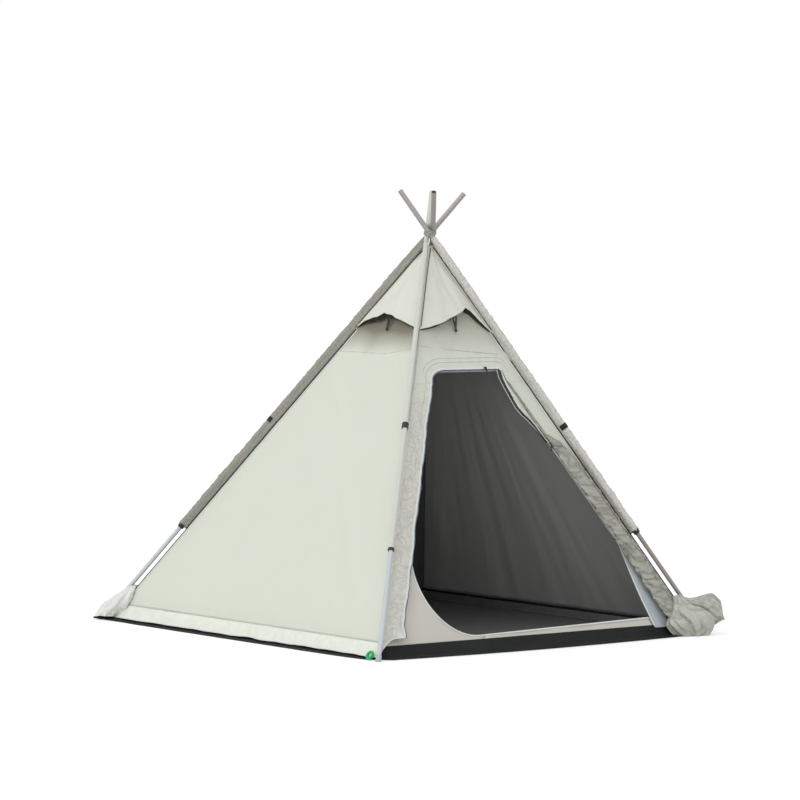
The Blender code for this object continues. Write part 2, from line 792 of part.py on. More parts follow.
def groundsheet():
    """A tub: a flat floor, a lip that shows outside the skirt, and a rim that rises to the inner tent."""
    wall = WALLS["front"]
    at_rim = -wall.depth(RIM_HEIGHT, -INNER_GAP)
    at_lip = -wall.depth(LIP_HEIGHT, -INNER_GAP / 2)
    t = SHEET_THICKNESS
    rings = [
        sheet_ring(LIP_OUT, 0, FRONT_BULGE),
        sheet_ring(LIP_OUT, LIP_HEIGHT / 2, FRONT_BULGE),
        sheet_ring(at_lip, LIP_HEIGHT, FRONT_BULGE / 2),
        sheet_ring(at_rim, RIM_HEIGHT, 0),
        sheet_ring(at_rim - t, RIM_HEIGHT, 0),
        sheet_ring(at_lip - t, LIP_HEIGHT, FRONT_BULGE / 2),
        sheet_ring(at_lip - 2 * t, t, FRONT_BULGE / 2),
    ]
    loft("groundsheet", rings, "groundsheet", smooth=False)


# Doors, tied back


def folded_roll(name, stations, back, kind, lobes, steps=28):
    """Gathered cloth that hangs against the front wall. Stations give height, place, half width and depth."""
    wall = WALLS["front"]
    arc = 11
    rings = []
    for i in range(steps + 1):
        z, from_ridge, half, depth = station_at(stations, i / steps)
        centre = wall.ends(z)[1] - from_ridge
        ring = []
        for k in range(arc):
            angle = math.pi * k / (arc - 1)
            fold = 1 + 0.16 * math.sin(lobes * angle + 5 * z) + 0.05 * math.sin(23 * z + k)
            d = back + depth * math.sin(angle) * fold
            ring.append(wall.point(centre + half * math.cos(angle), z, d))
        for share in (-0.5, 0.0, 0.5):
            ring.append(wall.point(centre + half * share, z, back))
        rings.append(ring)
    return loft(name, rings, kind)


def station_at(stations, share):
    place = share * (len(stations) - 1)
    index = min(int(place), len(stations) - 2)
    part = place - index
    return [a + (b - a) * part for a, b in zip(stations[index], stations[index + 1])]


OUTER_ROLL_FOOT = 0.050
OUTER_ROLL_TOP = DOOR_TOP - DOOR_ROUNDING
INNER_ROLL_FOOT = RIM_HEIGHT + 0.033
INNER_ROLL_TOP = DOOR_TOP - DOOR_SHOULDER
TIE_PLACE = 0.748
TIE_HEIGHT = OUTER_ROLL_FOOT + (OUTER_ROLL_TOP - OUTER_ROLL_FOOT) * TIE_PLACE
TIE_WIDTH = 0.026
TIE_THICKNESS = 0.003
TIE_CLEARANCE = 0.0015
TIE_HOLD = 0.020
TIE_STATION = 4


def roll_stations(foot, top, shares):
    """Stations whose heights are given as their share of the way up the rolled door."""
    return [(foot + (top - foot) * share, *rest) for share, *rest in shares]


OUTER_ROLL = roll_stations(
    OUTER_ROLL_FOOT,
    OUTER_ROLL_TOP,
    [
        (0.000, 0.155, 0.055, 0.030),
        (0.112, 0.125, 0.070, 0.036),
        (0.299, 0.100, 0.052, 0.036),
        (0.524, 0.098, 0.052, 0.036),
        (TIE_PLACE, 0.100, 0.034, 0.026),
        (TIE_PLACE, 0.100, 0.034, 0.026),
        (0.860, 0.150, 0.040, 0.020),
        (1.000, 0.150, 0.014, 0.012),
    ],
)
OUTER_ROLL[TIE_STATION] = (TIE_HEIGHT - TIE_HOLD, *OUTER_ROLL[TIE_STATION][1:])
OUTER_ROLL[TIE_STATION + 1] = (TIE_HEIGHT + TIE_HOLD, *OUTER_ROLL[TIE_STATION][1:])
INNER_ROLL = roll_stations(
    INNER_ROLL_FOOT,
    INNER_ROLL_TOP,
    [
        (0.000, 0.245, 0.055, 0.018),
        (0.082, 0.210, 0.050, 0.020),
        (0.278, 0.125, 0.035, 0.020),
        (0.552, 0.110, 0.028, 0.018),
        (1.000, 0.120, 0.020, 0.012),
    ],
)


def tied_doors():
    folded_roll("outer_door", OUTER_ROLL, TOUCH_GAP, "cream_cloth", 5)
    back = -INNER_GAP + TOUCH_GAP
    folded_roll("inner_door", INNER_ROLL, back, "inner_cloth", 3)


def door_tie():
    """The strap round the rolled outer door, open where the roll lies on the wall."""
    wall = WALLS["front"]
    station = OUTER_ROLL[TIE_STATION]
    centre = wall.ends(TIE_HEIGHT)[1] - station[1]
    sections = []
    for z in (TIE_HEIGHT - TIE_WIDTH / 2, TIE_HEIGHT + TIE_WIDTH / 2):
        shift = wall.ends(z)[1] - wall.ends(TIE_HEIGHT)[1]
        ring = []
        for extra in (TIE_CLEARANCE, TIE_CLEARANCE + TIE_THICKNESS):
            arc = []
            for k in range(13):
                angle = math.pi * k / 12
                reach = station[3] * 1.22 + extra
                half = station[2] * 1.08 + extra
                d = TOUCH_GAP + reach * math.sin(angle)
                arc.append(wall.point(centre + shift + half * math.cos(angle), z, d))
            ring += arc if extra == TIE_CLEARANCE else arc[::-1]
        sections.append(ring)
    loft("door_tie", sections, "sleeve_cloth", smooth=False)


ZIP_SLIDER_START = 0.030
ZIP_SLIDER_LENGTH = 0.018
ZIP_SLIDER_WIDTH = 0.011
ZIP_SLIDER_DEPTH = 0.005
ZIP_TAB_LENGTH = 0.042
ZIP_TAB_WIDTH = 0.007
ZIP_TAB_THICKNESS = 0.002


def zip_slider():
    """The slider of the outer door, at the open end of its track along the doorway's top, with its hanging tab."""
    wall = WALLS["front"]
    high = door_edges(DOOR_TOP)[1] - DOOR_ROUNDING - ZIP_SLIDER_START
    low = high - ZIP_SLIDER_LENGTH
    centre = (low + high) / 2
    bottom = DOOR_TOP + ZIP_SLIDER_WIDTH * 0.2
    top = bottom + ZIP_SLIDER_WIDTH
    body = [(low, bottom), (high, bottom), (high, top), (low, top)]
    depth = TOUCH_GAP + ZIP_SLIDER_DEPTH
    slider = slab("outer_zip_slider", wall, body, TOUCH_GAP, depth, "black_plastic")
    half = ZIP_TAB_WIDTH / 2
    hang = [
        (centre - half, top - ZIP_TAB_LENGTH),
        (centre + half, top - ZIP_TAB_LENGTH),
        (centre + half, top - 0.002),
        (centre - half, top - 0.002),
    ]
    outer = depth + ZIP_TAB_THICKNESS
    cut(slider, slab("outer_zip_tab", wall, hang, depth - 0.001, outer, "black_plastic"), "UNION")


# Corners


# Each gathered corner: how far its middle stands out from the foot, and the (height, radius) of its outline.
SLIM_RINGS = ((0.0, 0.052), (0.040, 0.056), (0.090, 0.048), (0.140, 0.038), (0.190, 0.026), (0.230, 0.016))
FULL_RINGS = ((0.0, 0.088), (0.030, 0.108), (0.080, 0.112), (0.130, 0.098), (0.175, 0.066), (0.200, 0.028))
POCKETS = {
    "door_right": (-0.025, FULL_RINGS),
    "back_right": (0.0, SLIM_RINGS),
    "back_left": (0.0, SLIM_RINGS),
}
CHANNEL_CLEARANCE = 0.0006


def cloth_pyramid(name, d):
    """The solid inside the cloth's outer faces, used to trim what lies against them."""
    rings = []
    for z in (-0.05, 0.5):
        rings.append([ridge_point(corner, z, d) for corner in CORNERS])
    return loft(name, rings, "cream_cloth", smooth=False)


def corner_pockets():
    """The gathered cloth round a sleeved pole's foot, open along the pole so that the leg can slide."""
    trim = cloth_pyramid("cloth_cutter", TOUCH_GAP * 2)
    gap = TOUCH_GAP * 2
    rings = []
    for out, z in ((LIP_OUT, -LIP_HEIGHT), (LIP_OUT, LIP_HEIGHT / 2), (0, LIP_HEIGHT)):
        rings.append(sheet_ring(out + gap, z + gap, FRONT_BULGE))
    sheet = loft("sheet_cutter", rings, "groundsheet", smooth=False)
    for corner, (shift, outline) in POCKETS.items():
        pole = POLES[corner]
        out = Vector((pole.foot.x, pole.foot.y, 0)).normalized()
        rings = []
        for height, radius in outline:
            ring = []
            leant = pole.at(pole.at_height(height)) if outline is SLIM_RINGS else pole.foot + UP * height
            for i in range(18):
                angle = 2 * math.pi * i / 18
                fold = 1 + 0.09 * math.sin(5 * angle + 30 * height) + 0.05 * math.sin(9 * angle)
                arm = Vector((math.cos(angle), math.sin(angle), 0)) * radius * fold
                ring.append(leant + out * shift + arm)
            rings.append(ring)
        pocket = loft(f"pocket_{corner}", rings, "cream_cloth")
        cut(pocket, trim)
        cut(pocket, sheet)
        boot = (LEG_RADIUS + TOUCH_GAP) / ROUNDNESS + FOOT_WALL
        bore = (boot + CHANNEL_CLEARANCE) / ROUNDNESS
        channel = [circle(bore, -0.1, ROUND_SIDES), circle(bore, 0.45, ROUND_SIDES)]
        cut(pocket, loft(f"channel_{corner}", channel, "cream_cloth", pole.frame))


RING_RADIUS = 0.0235
RING_BAR = 0.0055
RING_FROM_CORNER = 0.042
RING_HEIGHT = 0.041


def peg_ring():
    """The plastic ring on the front corner, against the left skirt."""
    wall = WALLS["left"]
    d = RING_BAR + TOUCH_GAP
    high = wall.ends(RING_HEIGHT, d)[1]
    centre = wall.point(high - RING_FROM_CORNER, RING_HEIGHT, d)
    up = wall.along.cross(wall.normal) * -1
    frame = Matrix.Translation(centre) @ Matrix((wall.along, up, wall.normal)).transposed().to_4x4()
    sides = 8
    profile = []
    for i in range(sides):
        angle = 2 * math.pi * i / sides
        profile.append((RING_RADIUS + RING_BAR * math.cos(angle), RING_BAR * math.sin(angle)))
    turned("peg_ring", profile, "green_plastic", frame)


def build():
    clear_scene()
    for corner, pole in POLES.items():
        pole_tube(corner, pole)
        pole_leg(corner, pole)
        pole_collar(corner, pole)
        pole_foot(corner, pole)
        pole_tip(corner, pole)
        if corner in SLEEVED:
            pole_sleeve(corner, pole)
            sleeve_band(corner, pole)
    front_clip(POLES["door_left"])
    lashing()
    peak_toggle()
    outer_walls()
    door_wall()
    vent_mesh()
    inner_tent()
    vent_cap()
    vent_props()
    groundsheet()
    tied_doors()
    door_tie()
    zip_slider()
    corner_pockets()
    peg_ring()


build()
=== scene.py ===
"""The looks of the pyramid tent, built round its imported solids. Metres, +Z up, the doorway faces -Y."""

import json
import math

import bpy
import numpy as np
from mathutils import Matrix, Vector

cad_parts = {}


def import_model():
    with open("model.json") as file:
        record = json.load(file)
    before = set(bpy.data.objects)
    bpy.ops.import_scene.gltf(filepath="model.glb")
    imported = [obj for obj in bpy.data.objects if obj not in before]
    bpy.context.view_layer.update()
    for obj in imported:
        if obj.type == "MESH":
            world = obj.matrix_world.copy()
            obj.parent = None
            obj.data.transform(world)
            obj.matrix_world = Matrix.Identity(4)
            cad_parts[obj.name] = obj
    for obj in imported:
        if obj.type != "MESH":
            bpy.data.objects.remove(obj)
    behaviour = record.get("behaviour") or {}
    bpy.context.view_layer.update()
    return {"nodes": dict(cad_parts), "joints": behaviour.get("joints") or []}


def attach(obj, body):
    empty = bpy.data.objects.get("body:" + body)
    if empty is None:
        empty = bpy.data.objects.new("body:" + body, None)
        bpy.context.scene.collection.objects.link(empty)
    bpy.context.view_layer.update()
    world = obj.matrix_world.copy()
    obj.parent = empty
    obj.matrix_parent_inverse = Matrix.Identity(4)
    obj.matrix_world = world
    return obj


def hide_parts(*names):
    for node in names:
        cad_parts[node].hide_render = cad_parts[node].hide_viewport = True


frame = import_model()
JOINTS = {joint["name"]: joint for joint in frame["joints"]}
NODES = frame["nodes"]
BODY = "tent"
UV = "cloth"

# Sizes of the solids, in metres
CLOTH_HALF = 1.171345
PEAK = np.array([0.086, -0.074, 2.147844])
CROSSING = np.array([0.086, -0.074, 2.200])
POLE_RADIUS = 0.0140
COLLAR_PLACE = 0.690
SLEEVE_TOP_GAP = 0.055
SLEEVE_RADIUS = 0.0205
BAND_HEIGHT = 1.140
BAND_WIDTH = 0.030
SKIRT_TOP = 0.085
SKIRT_FOOT = 0.009
VENT_SILL = PEAK[2] - 0.488
DOOR_TOP = VENT_SILL - 0.203
DOOR_LEFT = 0.142
DOOR_RIGHT = 0.125
DOOR_EASE = 0.020
DOOR_ROUNDING = 0.070
DOOR_TIGHT = 0.020
DOOR_FOOT = 0.055
# The lower edge of the strip left of the doorway: share of the way across, height
STRIP_SHARES = (0.0, 0.08, 0.30, 0.55, 1.0)
STRIP_HEIGHTS = (0.012, 0.050, 0.082, 0.098, 0.106)
INNER_GAP = 0.030
INNER_LEFT = 0.120
INNER_RIGHT = 0.050
INNER_SILL_LEFT = 0.006
INNER_SILL_RIGHT = 0.042
INNER_TOP = 2.055
RIM_HEIGHT = 0.062
LIP_OUT = 0.030
LIP_HEIGHT = 0.010
FRONT_BULGE = 0.055
CORNER_CUT = 0.070
CAP_GAP = 0.0035
CAP_TOP_HALF = 0.013
# How thick the cloth of the outer walls is, and all thinner cloth and tape
CLOTH = 0.0012
THIN = 0.0008

CORNERS = {"door_left": (-1, -1), "door_right": (1, -1), "back_right": (1, 1), "back_left": (-1, 1)}
SIDES = {
    "front": ("door_left", "door_right"),
    "right": ("door_right", "back_right"),
    "back": ("back_right", "back_left"),
    "left": ("back_left", "door_left"),
}
SIDE_NAMES = list(SIDES)
BACK_SIDES = ("left", "back", "right")
SLEEVED = ("door_right", "back_right", "back_left")
UP = np.array([0.0, 0.0, 1.0])


# Shapes of noise and folds


def gradient_noise(x, y, seed):
    """Smooth noise from -1 to 1 at the points x, y, whose cells are one unit wide."""
    random = np.random.RandomState(seed)
    order = np.tile(random.permutation(256), 3)
    turns = random.uniform(0, 2 * math.pi, 256)
    cell_x = np.floor(x).astype(int)
    cell_y = np.floor(y).astype(int)
    part_x = x - cell_x
    part_y = y - cell_y
    ease_x = part_x**3 * (part_x * (part_x * 6 - 15) + 10)
    ease_y = part_y**3 * (part_y * (part_y * 6 - 15) + 10)
    rows = []
    for step_y in (0, 1):
        row = []
        for step_x in (0, 1):
            index = order[order[(cell_x + step_x) % 256] + (cell_y + step_y) % 256]
            turn = turns[index]
            row.append(np.cos(turn) * (part_x - step_x) + np.sin(turn) * (part_y - step_y))
        rows.append(row[0] + (row[1] - row[0]) * ease_x)
    return (rows[0] + (rows[1] - rows[0]) * ease_y) * 1.5


def layered_noise(x, y, seed, octaves):
    total = 0.0
    share = 1.0
    for octave in range(octaves):
        total = total + gradient_noise(x * 2**octave, y * 2**octave, seed + octave) * share
        share *= 0.5
    return total


def smooth(low, high, value):
    part = np.clip((value - low) / (high - low), 0, 1)
    return part * part * (3 - 2 * part)


def within(low, high, value, edge):
    """1 between two limits, going to 0 over the width of an edge inside each of them."""
    return smooth(0, edge, value - low) * smooth(0, edge, high - value)


def fold(u, z, start, end, width, height):
    """A fold in cloth along a line from start to end in the wall's plane, fading out at both ends."""
    start = np.array(start)
    line = np.array(end) - start
    length = np.linalg.norm(line)
    line = line / length
    along = (u - start[0]) * line[0] + (z - start[1]) * line[1]
    aside = (u - start[0]) * line[1] - (z - start[1]) * line[0]
    fade = smooth(0, 0.25, along / length) * smooth(0, 0.25, 1 - along / length)
    return height * fade * np.exp(-((aside / width) ** 2))


# The tent's planes and poles


class Wall:
    """One side of the cloth pyramid: u runs along it from its middle, z is the height, d stands out."""

    def __init__(self, side):
        first, last = SIDES[side]
        a = np.array([*CORNERS[first], 0.0]) * CLOTH_HALF
        b = np.array([*CORNERS[last], 0.0]) * CLOTH_HALF
        self.side = side
        self.middle = (a + b) / 2
        self.along = (b - a) / np.linalg.norm(b - a)
        self.inward = np.cross(UP, self.along)
        self.run = (PEAK - self.middle) @ self.inward / PEAK[2]
        self.slant = math.sqrt(1 + self.run**2)
        self.normal = (UP * self.run - self.inward) / self.slant

    def depth(self, z, d):
        return self.run * z - d * self.slant

    def at(self, u, z, d=0.0):
        u, z, d = np.broadcast_arrays(u, z, d)
        depth = self.depth(z, d)
        return self.middle + u[..., None] * self.along + depth[..., None] * self.inward + z[..., None] * UP

    def cloth(self, u, z):
        """Cloth coordinates of the points u, z."""
        return np.stack([u, z * self.slant], 2)

    def ends(self, z, d=0.0):
        index = SIDE_NAMES.index(self.side)
        before = WALLS[SIDE_NAMES[index - 1]]
        after = WALLS[SIDE_NAMES[(index + 1) % 4]]
        return before.depth(z, d) - CLOTH_HALF, CLOTH_HALF - after.depth(z, d)

    def part_way(self, share, z, d=0.0):
        """The place u at a share of the way across the wall."""
        low, high = self.ends(z, d)
        return low + (high - low) * share


class Pole:
    """A pole's axis from its foot: distances run along it."""

    def __init__(self, corner):
        self.axis = np.array(JOINTS[f"leg_{corner}_slide"]["axis"], float)
        self.axis /= np.linalg.norm(self.axis)
        on_axis = np.array(JOINTS[f"lock_{corner}_twist"]["pos_m"], float)
        self.foot = on_axis - self.axis * (on_axis[2] / self.axis[2])

    def at(self, distance):
        return self.foot + np.multiply.outer(distance, self.axis)


WALLS = {side: Wall(side) for side in SIDE_NAMES}
FRONT = WALLS["front"]
POLES = {corner: Pole(corner) for corner in CORNERS}


def ridge(corner, z, d=0.0):
    """The point of the cloth's ridge above a corner."""
    side = next(side for side, (first, _) in SIDES.items() if first == corner)
    return WALLS[side].at(WALLS[side].ends(z, d)[0], z, d)


# Meshes from grids of points


def new_object(name, data):
    made = bpy.data.objects.new(name, data)
    bpy.context.scene.collection.objects.link(made)
    return made


def path_length(points):
    """The distance along a row of points, at each of them."""
    return np.append(0, np.linalg.norm(np.diff(points, axis=0), axis=1).cumsum())


def piece(name, patches, finish, uvs=None, thickness=0.0, weld=0.0, wrap=False):
    """A named piece from grids of points. uvs holds each grid's cloth coordinates, in metres."""
    points = []
    faces = []
    coords = []
    start = 0
    for index, patch in enumerate(patches):
        rows, columns = patch.shape[:2]
        points.append(patch.reshape(-1, 3))
        if uvs is None:
            across = np.linalg.norm(np.diff(patch, axis=1), axis=2).mean(0).cumsum()
            upward = np.linalg.norm(np.diff(patch, axis=0), axis=2).mean(1).cumsum()
            across, upward = np.meshgrid(np.append(0, across), np.append(0, upward))
            coords.append(np.stack([across, upward], 2).reshape(-1, 2))
        else:
            coords.append(uvs[index].reshape(-1, 2))
        grid = np.arange(rows * columns).reshape(rows, columns) + start
        if wrap:
            grid = np.concatenate([grid, grid[:, :1]], axis=1)
        quads = np.stack([grid[:-1, :-1], grid[:-1, 1:], grid[1:, 1:], grid[1:, :-1]], 2)
        faces.append(quads.reshape(-1, 4))
        start += rows * columns
    points = np.concatenate(points)
    faces = np.concatenate(faces)
    coords = np.concatenate(coords)
    mesh = bpy.data.meshes.new(name)
    mesh.from_pydata(points.tolist(), [], faces.tolist())
    layer = mesh.uv_layers.new(name=UV)
    loops = np.empty(len(mesh.loops), int)
    mesh.loops.foreach_get("vertex_index", loops)
    layer.data.foreach_set("uv", coords[loops].ravel())
    mesh.shade_smooth()
    mesh.materials.append(finish)
    made = new_object(name, mesh)
    if weld:
        step = made.modifiers.new("Join", "WELD")
        step.merge_threshold = weld
    if thickness:
        step = made.modifiers.new("Cloth", "SOLIDIFY")
        step.thickness = thickness
        step.offset = 0
    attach(made, BODY)
    return made


def grid_of(across, upward):
    """Shares from 0 to 1 across and upward, for that many columns and rows."""
    return np.meshgrid(np.linspace(0, 1, across), np.linspace(0, 1, upward))


def flat_area(patch):
    """The area of a grid of points."""
    a = patch[:-1, :-1]
    b = patch[:-1, 1:]
    c = patch[1:, 1:]
    d = patch[1:, :-1]
    halves = np.linalg.norm(np.cross(b - a, c - a), axis=2) + np.linalg.norm(np.cross(c - a, d - a), axis=2)
    return float(halves.sum() / 2)


def wall_sheet(name, side, u, z, relief, finish, thickness=CLOTH):
    """Cloth over the points u, z of a side, and its flat area."""
    wall = WALLS[side]
    made = piece(name, [wall.at(u, z, relief)], finish, [wall.cloth(u, z)], thickness)
    return made, flat_area(wall.at(u, z))


# Materials


class Nodes:
    """A tree of shader nodes: add() makes one, with numbers, colours or other nodes' outputs going in."""

    def __init__(self, tree):
        self.tree = tree

    def set(self, node, key, value):
        socket = node.inputs[key]
        if isinstance(value, bpy.types.NodeSocket):
            self.tree.links.new(value, socket)
        else:
            socket.default_value = value

    def add(self, kind, inputs=None, **settings):
        node = self.tree.nodes.new("ShaderNode" + kind)
        for key, value in settings.items():
            setattr(node, key, value)
        for key, value in (inputs or {}).items():
            self.set(node, key, value)
        return node


class Finish(Nodes):
    """A material of nodes. Each step changes its colour, its relief or its roughness."""

    def __init__(self, name, colour, roughness, metallic=0.0, sheen=0.0, coat=0.0, specular=0.5):
        self.material = bpy.data.materials.new(name)
        self.material.use_nodes = True
        self.material.diffuse_color = (*colour, 1)
        super().__init__(self.material.node_tree)
        self.shader = self.tree.nodes["Principled BSDF"]
        self.colour = colour
        for key, value in {
            "Base Color": (*colour, 1),
            "Roughness": roughness,
            "Metallic": metallic,
            "Sheen Weight": sheen,
            "Sheen Roughness": 0.4,
            "Coat Weight": coat,
            "Specular IOR Level": specular,
        }.items():
            self.set(self.shader, key, value)

    def object_place(self):
        return self.add("TexCoord").outputs["Object"]

    def cloth_place(self):
        return self.add("UVMap", uv_map=UV).outputs[0]

    def coordinate(self, place, axis):
        return self.add("SeparateXYZ", {0: place}).outputs[axis]

    def stretched(self, place, *scale):
        return self.add("Mapping", {"Vector": place, "Scale": scale}).outputs[0]

    def spots(self, scale, detail=3.0, stretch=(1, 1, 1)):
        """Noise in the object's coordinates."""
        place = self.stretched(self.object_place(), *stretch)
        return self.add("TexNoise", {"Vector": place, "Scale": scale, "Detail": detail}).outputs["Fac"]

    def flecks(self, along, across, detail=2.0):
        """Noise in the cloth's coordinates."""
        place = self.stretched(self.cloth_place(), along, across, 1)
        return self.add("TexNoise", {"Vector": place, "Scale": 1.0, "Detail": detail}).outputs["Fac"]

    def waves(self, pitch, direction="DIAGONAL"):
        """Waves in the cloth's coordinates."""
        place = self.stretched(self.cloth_place(), 1 / pitch, 1 / pitch, 1)
        return self.add("TexWave", {"Vector": place, "Scale": 1.0}, bands_direction=direction).outputs["Fac"]

    def weave(self, pitch):
        return self.math("MAXIMUM", self.waves(pitch, "X"), self.waves(pitch, "Y"))

    def math(self, operation, first, second=0.0):
        return self.add("Math", {0: first, 1: second}, operation=operation).outputs[0]

    def times(self, first, second):
        return self.math("MULTIPLY", first, second)

    def distance(self, value, middle):
        return self.math("ABSOLUTE", self.math("SUBTRACT", value, middle))

    def ramp(self, value, low, high, from_low=0.0, from_high=1.0):
        inputs = {"Value": value, "From Min": from_low, "From Max": from_high, "To Min": low, "To Max": high}
        return self.add("MapRange", inputs).outputs[0]

    def tint(self, factor, colour):
        """The base colour goes to another one as the factor goes to 1."""
        node = self.add("Mix", {"Factor": factor, "B": (*colour, 1)}, data_type="RGBA")
        source = self.shader.inputs["Base Color"]
        self.set(node, 6, source.links[0].from_socket if source.is_linked else (*self.colour, 1))
        self.set(self.shader, "Base Color", node.outputs[2])

    def shade(self, share, value, *ramp):
        """Goes to a darker or lighter shade of the finish's own colour along a ramp of the value."""
        self.tint(self.ramp(value, *ramp), scaled(self.colour, share))

    def bump(self, height, strength, distance):
        inputs = {"Height": height, "Strength": strength, "Distance": distance}
        source = self.shader.inputs["Normal"]
        if source.is_linked:
            inputs["Normal"] = source.links[0].from_socket
        self.set(self.shader, "Normal", self.add("Bump", inputs).outputs[0])

    def rough(self, factor, low, high):
        """The last step: the roughness varies with the factor."""
        self.set(self.shader, "Roughness", self.ramp(factor, low, high))
        return self.material


def scaled(colour, share):
    return tuple(min(1.0, c * share) for c in colour)


SOIL = (0.36, 0.33, 0.27)
DUST = (0.07, 0.066, 0.06)
# The colour of the painted shade under the cap's hem
PAINTED_CAP_SHADOW = (0.24, 0.225, 0.175)


def woven(
    name,
    colour,
    yarn=0.0011,
    mottle=0.06,
    crush=0.0,
    creases=(9, 14),
    crease_shade=0.2,
    soil=0.0,
    shade=0.0,
    near=None,
    upper=None,
):
    """Woven cloth: warp and weft, thicker yarns here and there and slow changes of tone. It may be
    crushed, with painted shade along its creases, and have soil near the ground, painted shade under the
    cap's hem, a darker colour near the doorway that is painted shade, and another colour towards its upper
    end."""
    roughness = 0.86
    finish = Finish(name, colour, roughness, sheen=0.12, specular=0.3)
    weave = finish.weave(yarn)
    yarns = finish.math("ADD", finish.flecks(30, 420), finish.flecks(420, 30))
    slow = finish.spots(2.2, 4.0)
    finish.shade(0.62, weave, 0.10, 0.0)
    finish.shade(0.72, yarns, 0.0, mottle * 1.6, 0.7, 1.3)
    finish.shade(0.80, slow, 0.0, mottle, 0.35, 0.7)
    height = finish.coordinate(finish.object_place(), "Z")
    if soil:
        low = finish.times(finish.ramp(height, 1.0, 0.0, 0.0, 0.16), finish.spots(1.0, 5.0, (9, 9, 16)))
        finish.tint(finish.times(low, soil), SOIL)
    # Painted shade and light: darker towards the doorway and lighter towards the back, evening out the
    # daylight that comes in through the doorway
    if near:
        depth = finish.coordinate(finish.object_place(), "Y")
        finish.tint(finish.ramp(depth, 1.0, 0.0, -0.95, 0.55), near)
    # Painted shade under the cap's hem: the cloth darkens from below the vent's sill upwards
    if shade:
        uneven = finish.math("ADD", height, finish.times(finish.spots(1.0, 3.0, (5, 5, 3)), 0.08))
        finish.tint(finish.ramp(uneven, 0.0, shade, VENT_SILL - 0.09, VENT_SILL + 0.12), PAINTED_CAP_SHADOW)
    if crush:
        ridges = finish.distance(finish.flecks(*creases), 0.5)
        wrinkles = finish.flecks(creases[0] * 3, creases[1] * 2, 5.0)
        # Painted shade: the colour darkens along the crease lines, where the relief dips
        finish.shade(0.45, ridges, crease_shade * crush, 0.0, 0.0, 0.07)
        finish.bump(ridges, min(1.0, crush), 0.60 / creases[1])
        finish.bump(wrinkles, min(1.0, crush), 0.12 / creases[1])
    if upper:
        top = DOOR_TOP - DOOR_ROUNDING
        finish.tint(finish.ramp(height, 0.0, 1.0, top - 0.26, top - 0.02), upper)
    finish.bump(weave, 0.25, 0.0002)
    finish.bump(yarns, 0.15, 0.0003)
    return finish.rough(slow, roughness - 0.05, roughness + 0.06)


def coated(name, colour):
    """Coated groundsheet cloth: a fine ripstop grid, scuffs and dust."""
    finish = Finish(name, colour, 0.7, specular=0.15)
    dust = finish.spots(7.0, 6.0)
    finish.tint(finish.ramp(dust, 0.0, 0.16, 0.45, 0.75), DUST)
    finish.bump(finish.spots(22.0, 6.0), 0.35, 0.008)
    finish.bump(finish.weave(0.0015), 0.25, 0.0002)
    return finish.rough(dust, 0.62, 0.82)


def webbing(name, colour):
    finish = Finish(name, colour, 0.7, sheen=0.1, specular=0.35)
    rib = finish.waves(0.0022, "X")
    finish.shade(0.45, rib, 0.25, 0.0)
    finish.bump(rib, 0.5, 0.0006)
    finish.bump(finish.waves(0.0016), 0.3, 0.0004)
    return finish.rough(finish.spots(90.0), 0.62, 0.8)


def binding(name, colour):
    """Tape with a row of stitches along its middle. Its cloth coordinates run along it and across it."""
    finish = Finish(name, colour, 0.8, sheen=0.15, specular=0.3)
    row = finish.distance(finish.coordinate(finish.cloth_place(), "Y"), 0.0)
    dashes = finish.ramp(finish.waves(0.004, "X"), 0.0, 1.0, 0.3, 0.6)
    marks = finish.times(finish.ramp(row, 1.0, 0.0, 0.0003, 0.0011), dashes)
    finish.tint(finish.times(marks, 0.7), scaled(colour, 0.45))
    finish.bump(marks, -0.6, 0.0008)
    finish.bump(finish.waves(0.0014), 0.25, 0.0003)
    return finish.rough(finish.spots(60.0), 0.74, 0.88)


def zipper(name, tape, teeth):
    """A zip: a tape with a coil of teeth along its middle, which lies at zero across."""
    finish = Finish(name, tape, 0.65, sheen=0.1)
    row = finish.distance(finish.coordinate(finish.cloth_place(), "Y"), 0.0)
    middle = finish.ramp(row, 1.0, 0.0, 0.0020, 0.0026)
    pitch = finish.waves(0.0026, "X")
    finish.tint(middle, teeth)
    finish.tint(finish.times(middle, finish.ramp(pitch, 0.6, 0.0)), scaled(teeth, 0.3))
    finish.bump(finish.times(middle, pitch), 0.8, 0.0012)
    finish.bump(finish.waves(0.0012), 0.2, 0.0002)
    return finish.rough(middle, 0.75, 0.40)


def netting(name, colour):
    """Fine netting: dark threads with holes between them."""
    finish = Finish(name, colour, 0.8, sheen=0.1, specular=0.3)
    threads = finish.weave(0.004)
    finish.set(finish.shader, "Alpha", finish.ramp(threads, 0.85, 1.0, 0.55, 0.75))
    finish.bump(threads, 0.4, 0.0006)
    return finish.rough(finish.spots(30.0), 0.75, 0.9)


def tube_paint(name, colour, metallic, roughness, coat=0.0):
    """A drawn tube: faint lines along it, specks and rubbed patches."""
    finish = Finish(name, colour, roughness, metallic=metallic, coat=coat)
    patches = finish.spots(14.0, 5.0)
    finish.shade(0.78, patches, 0.0, 0.18, 0.5, 0.75)
    finish.shade(0.5, finish.spots(160.0), 0.0, 0.35, 0.66, 0.74)
    finish.bump(finish.spots(1.0, 2.0, (260, 260, 6)), 0.12, 0.0003)
    return finish.rough(patches, roughness - 0.08, roughness + 0.12)


def moulded(name, colour):
    """Moulded plastic: a fine grain and dulled patches."""
    roughness = 0.5
    finish = Finish(name, colour, roughness)
    worn = finish.spots(60.0, 4.0)
    finish.shade(1.5, worn, 0.0, 0.25, 0.5, 0.8)
    finish.bump(finish.spots(900.0, 2.0), 0.25, 0.0002)
    return finish.rough(worn, roughness - 0.07, roughness + 0.12)


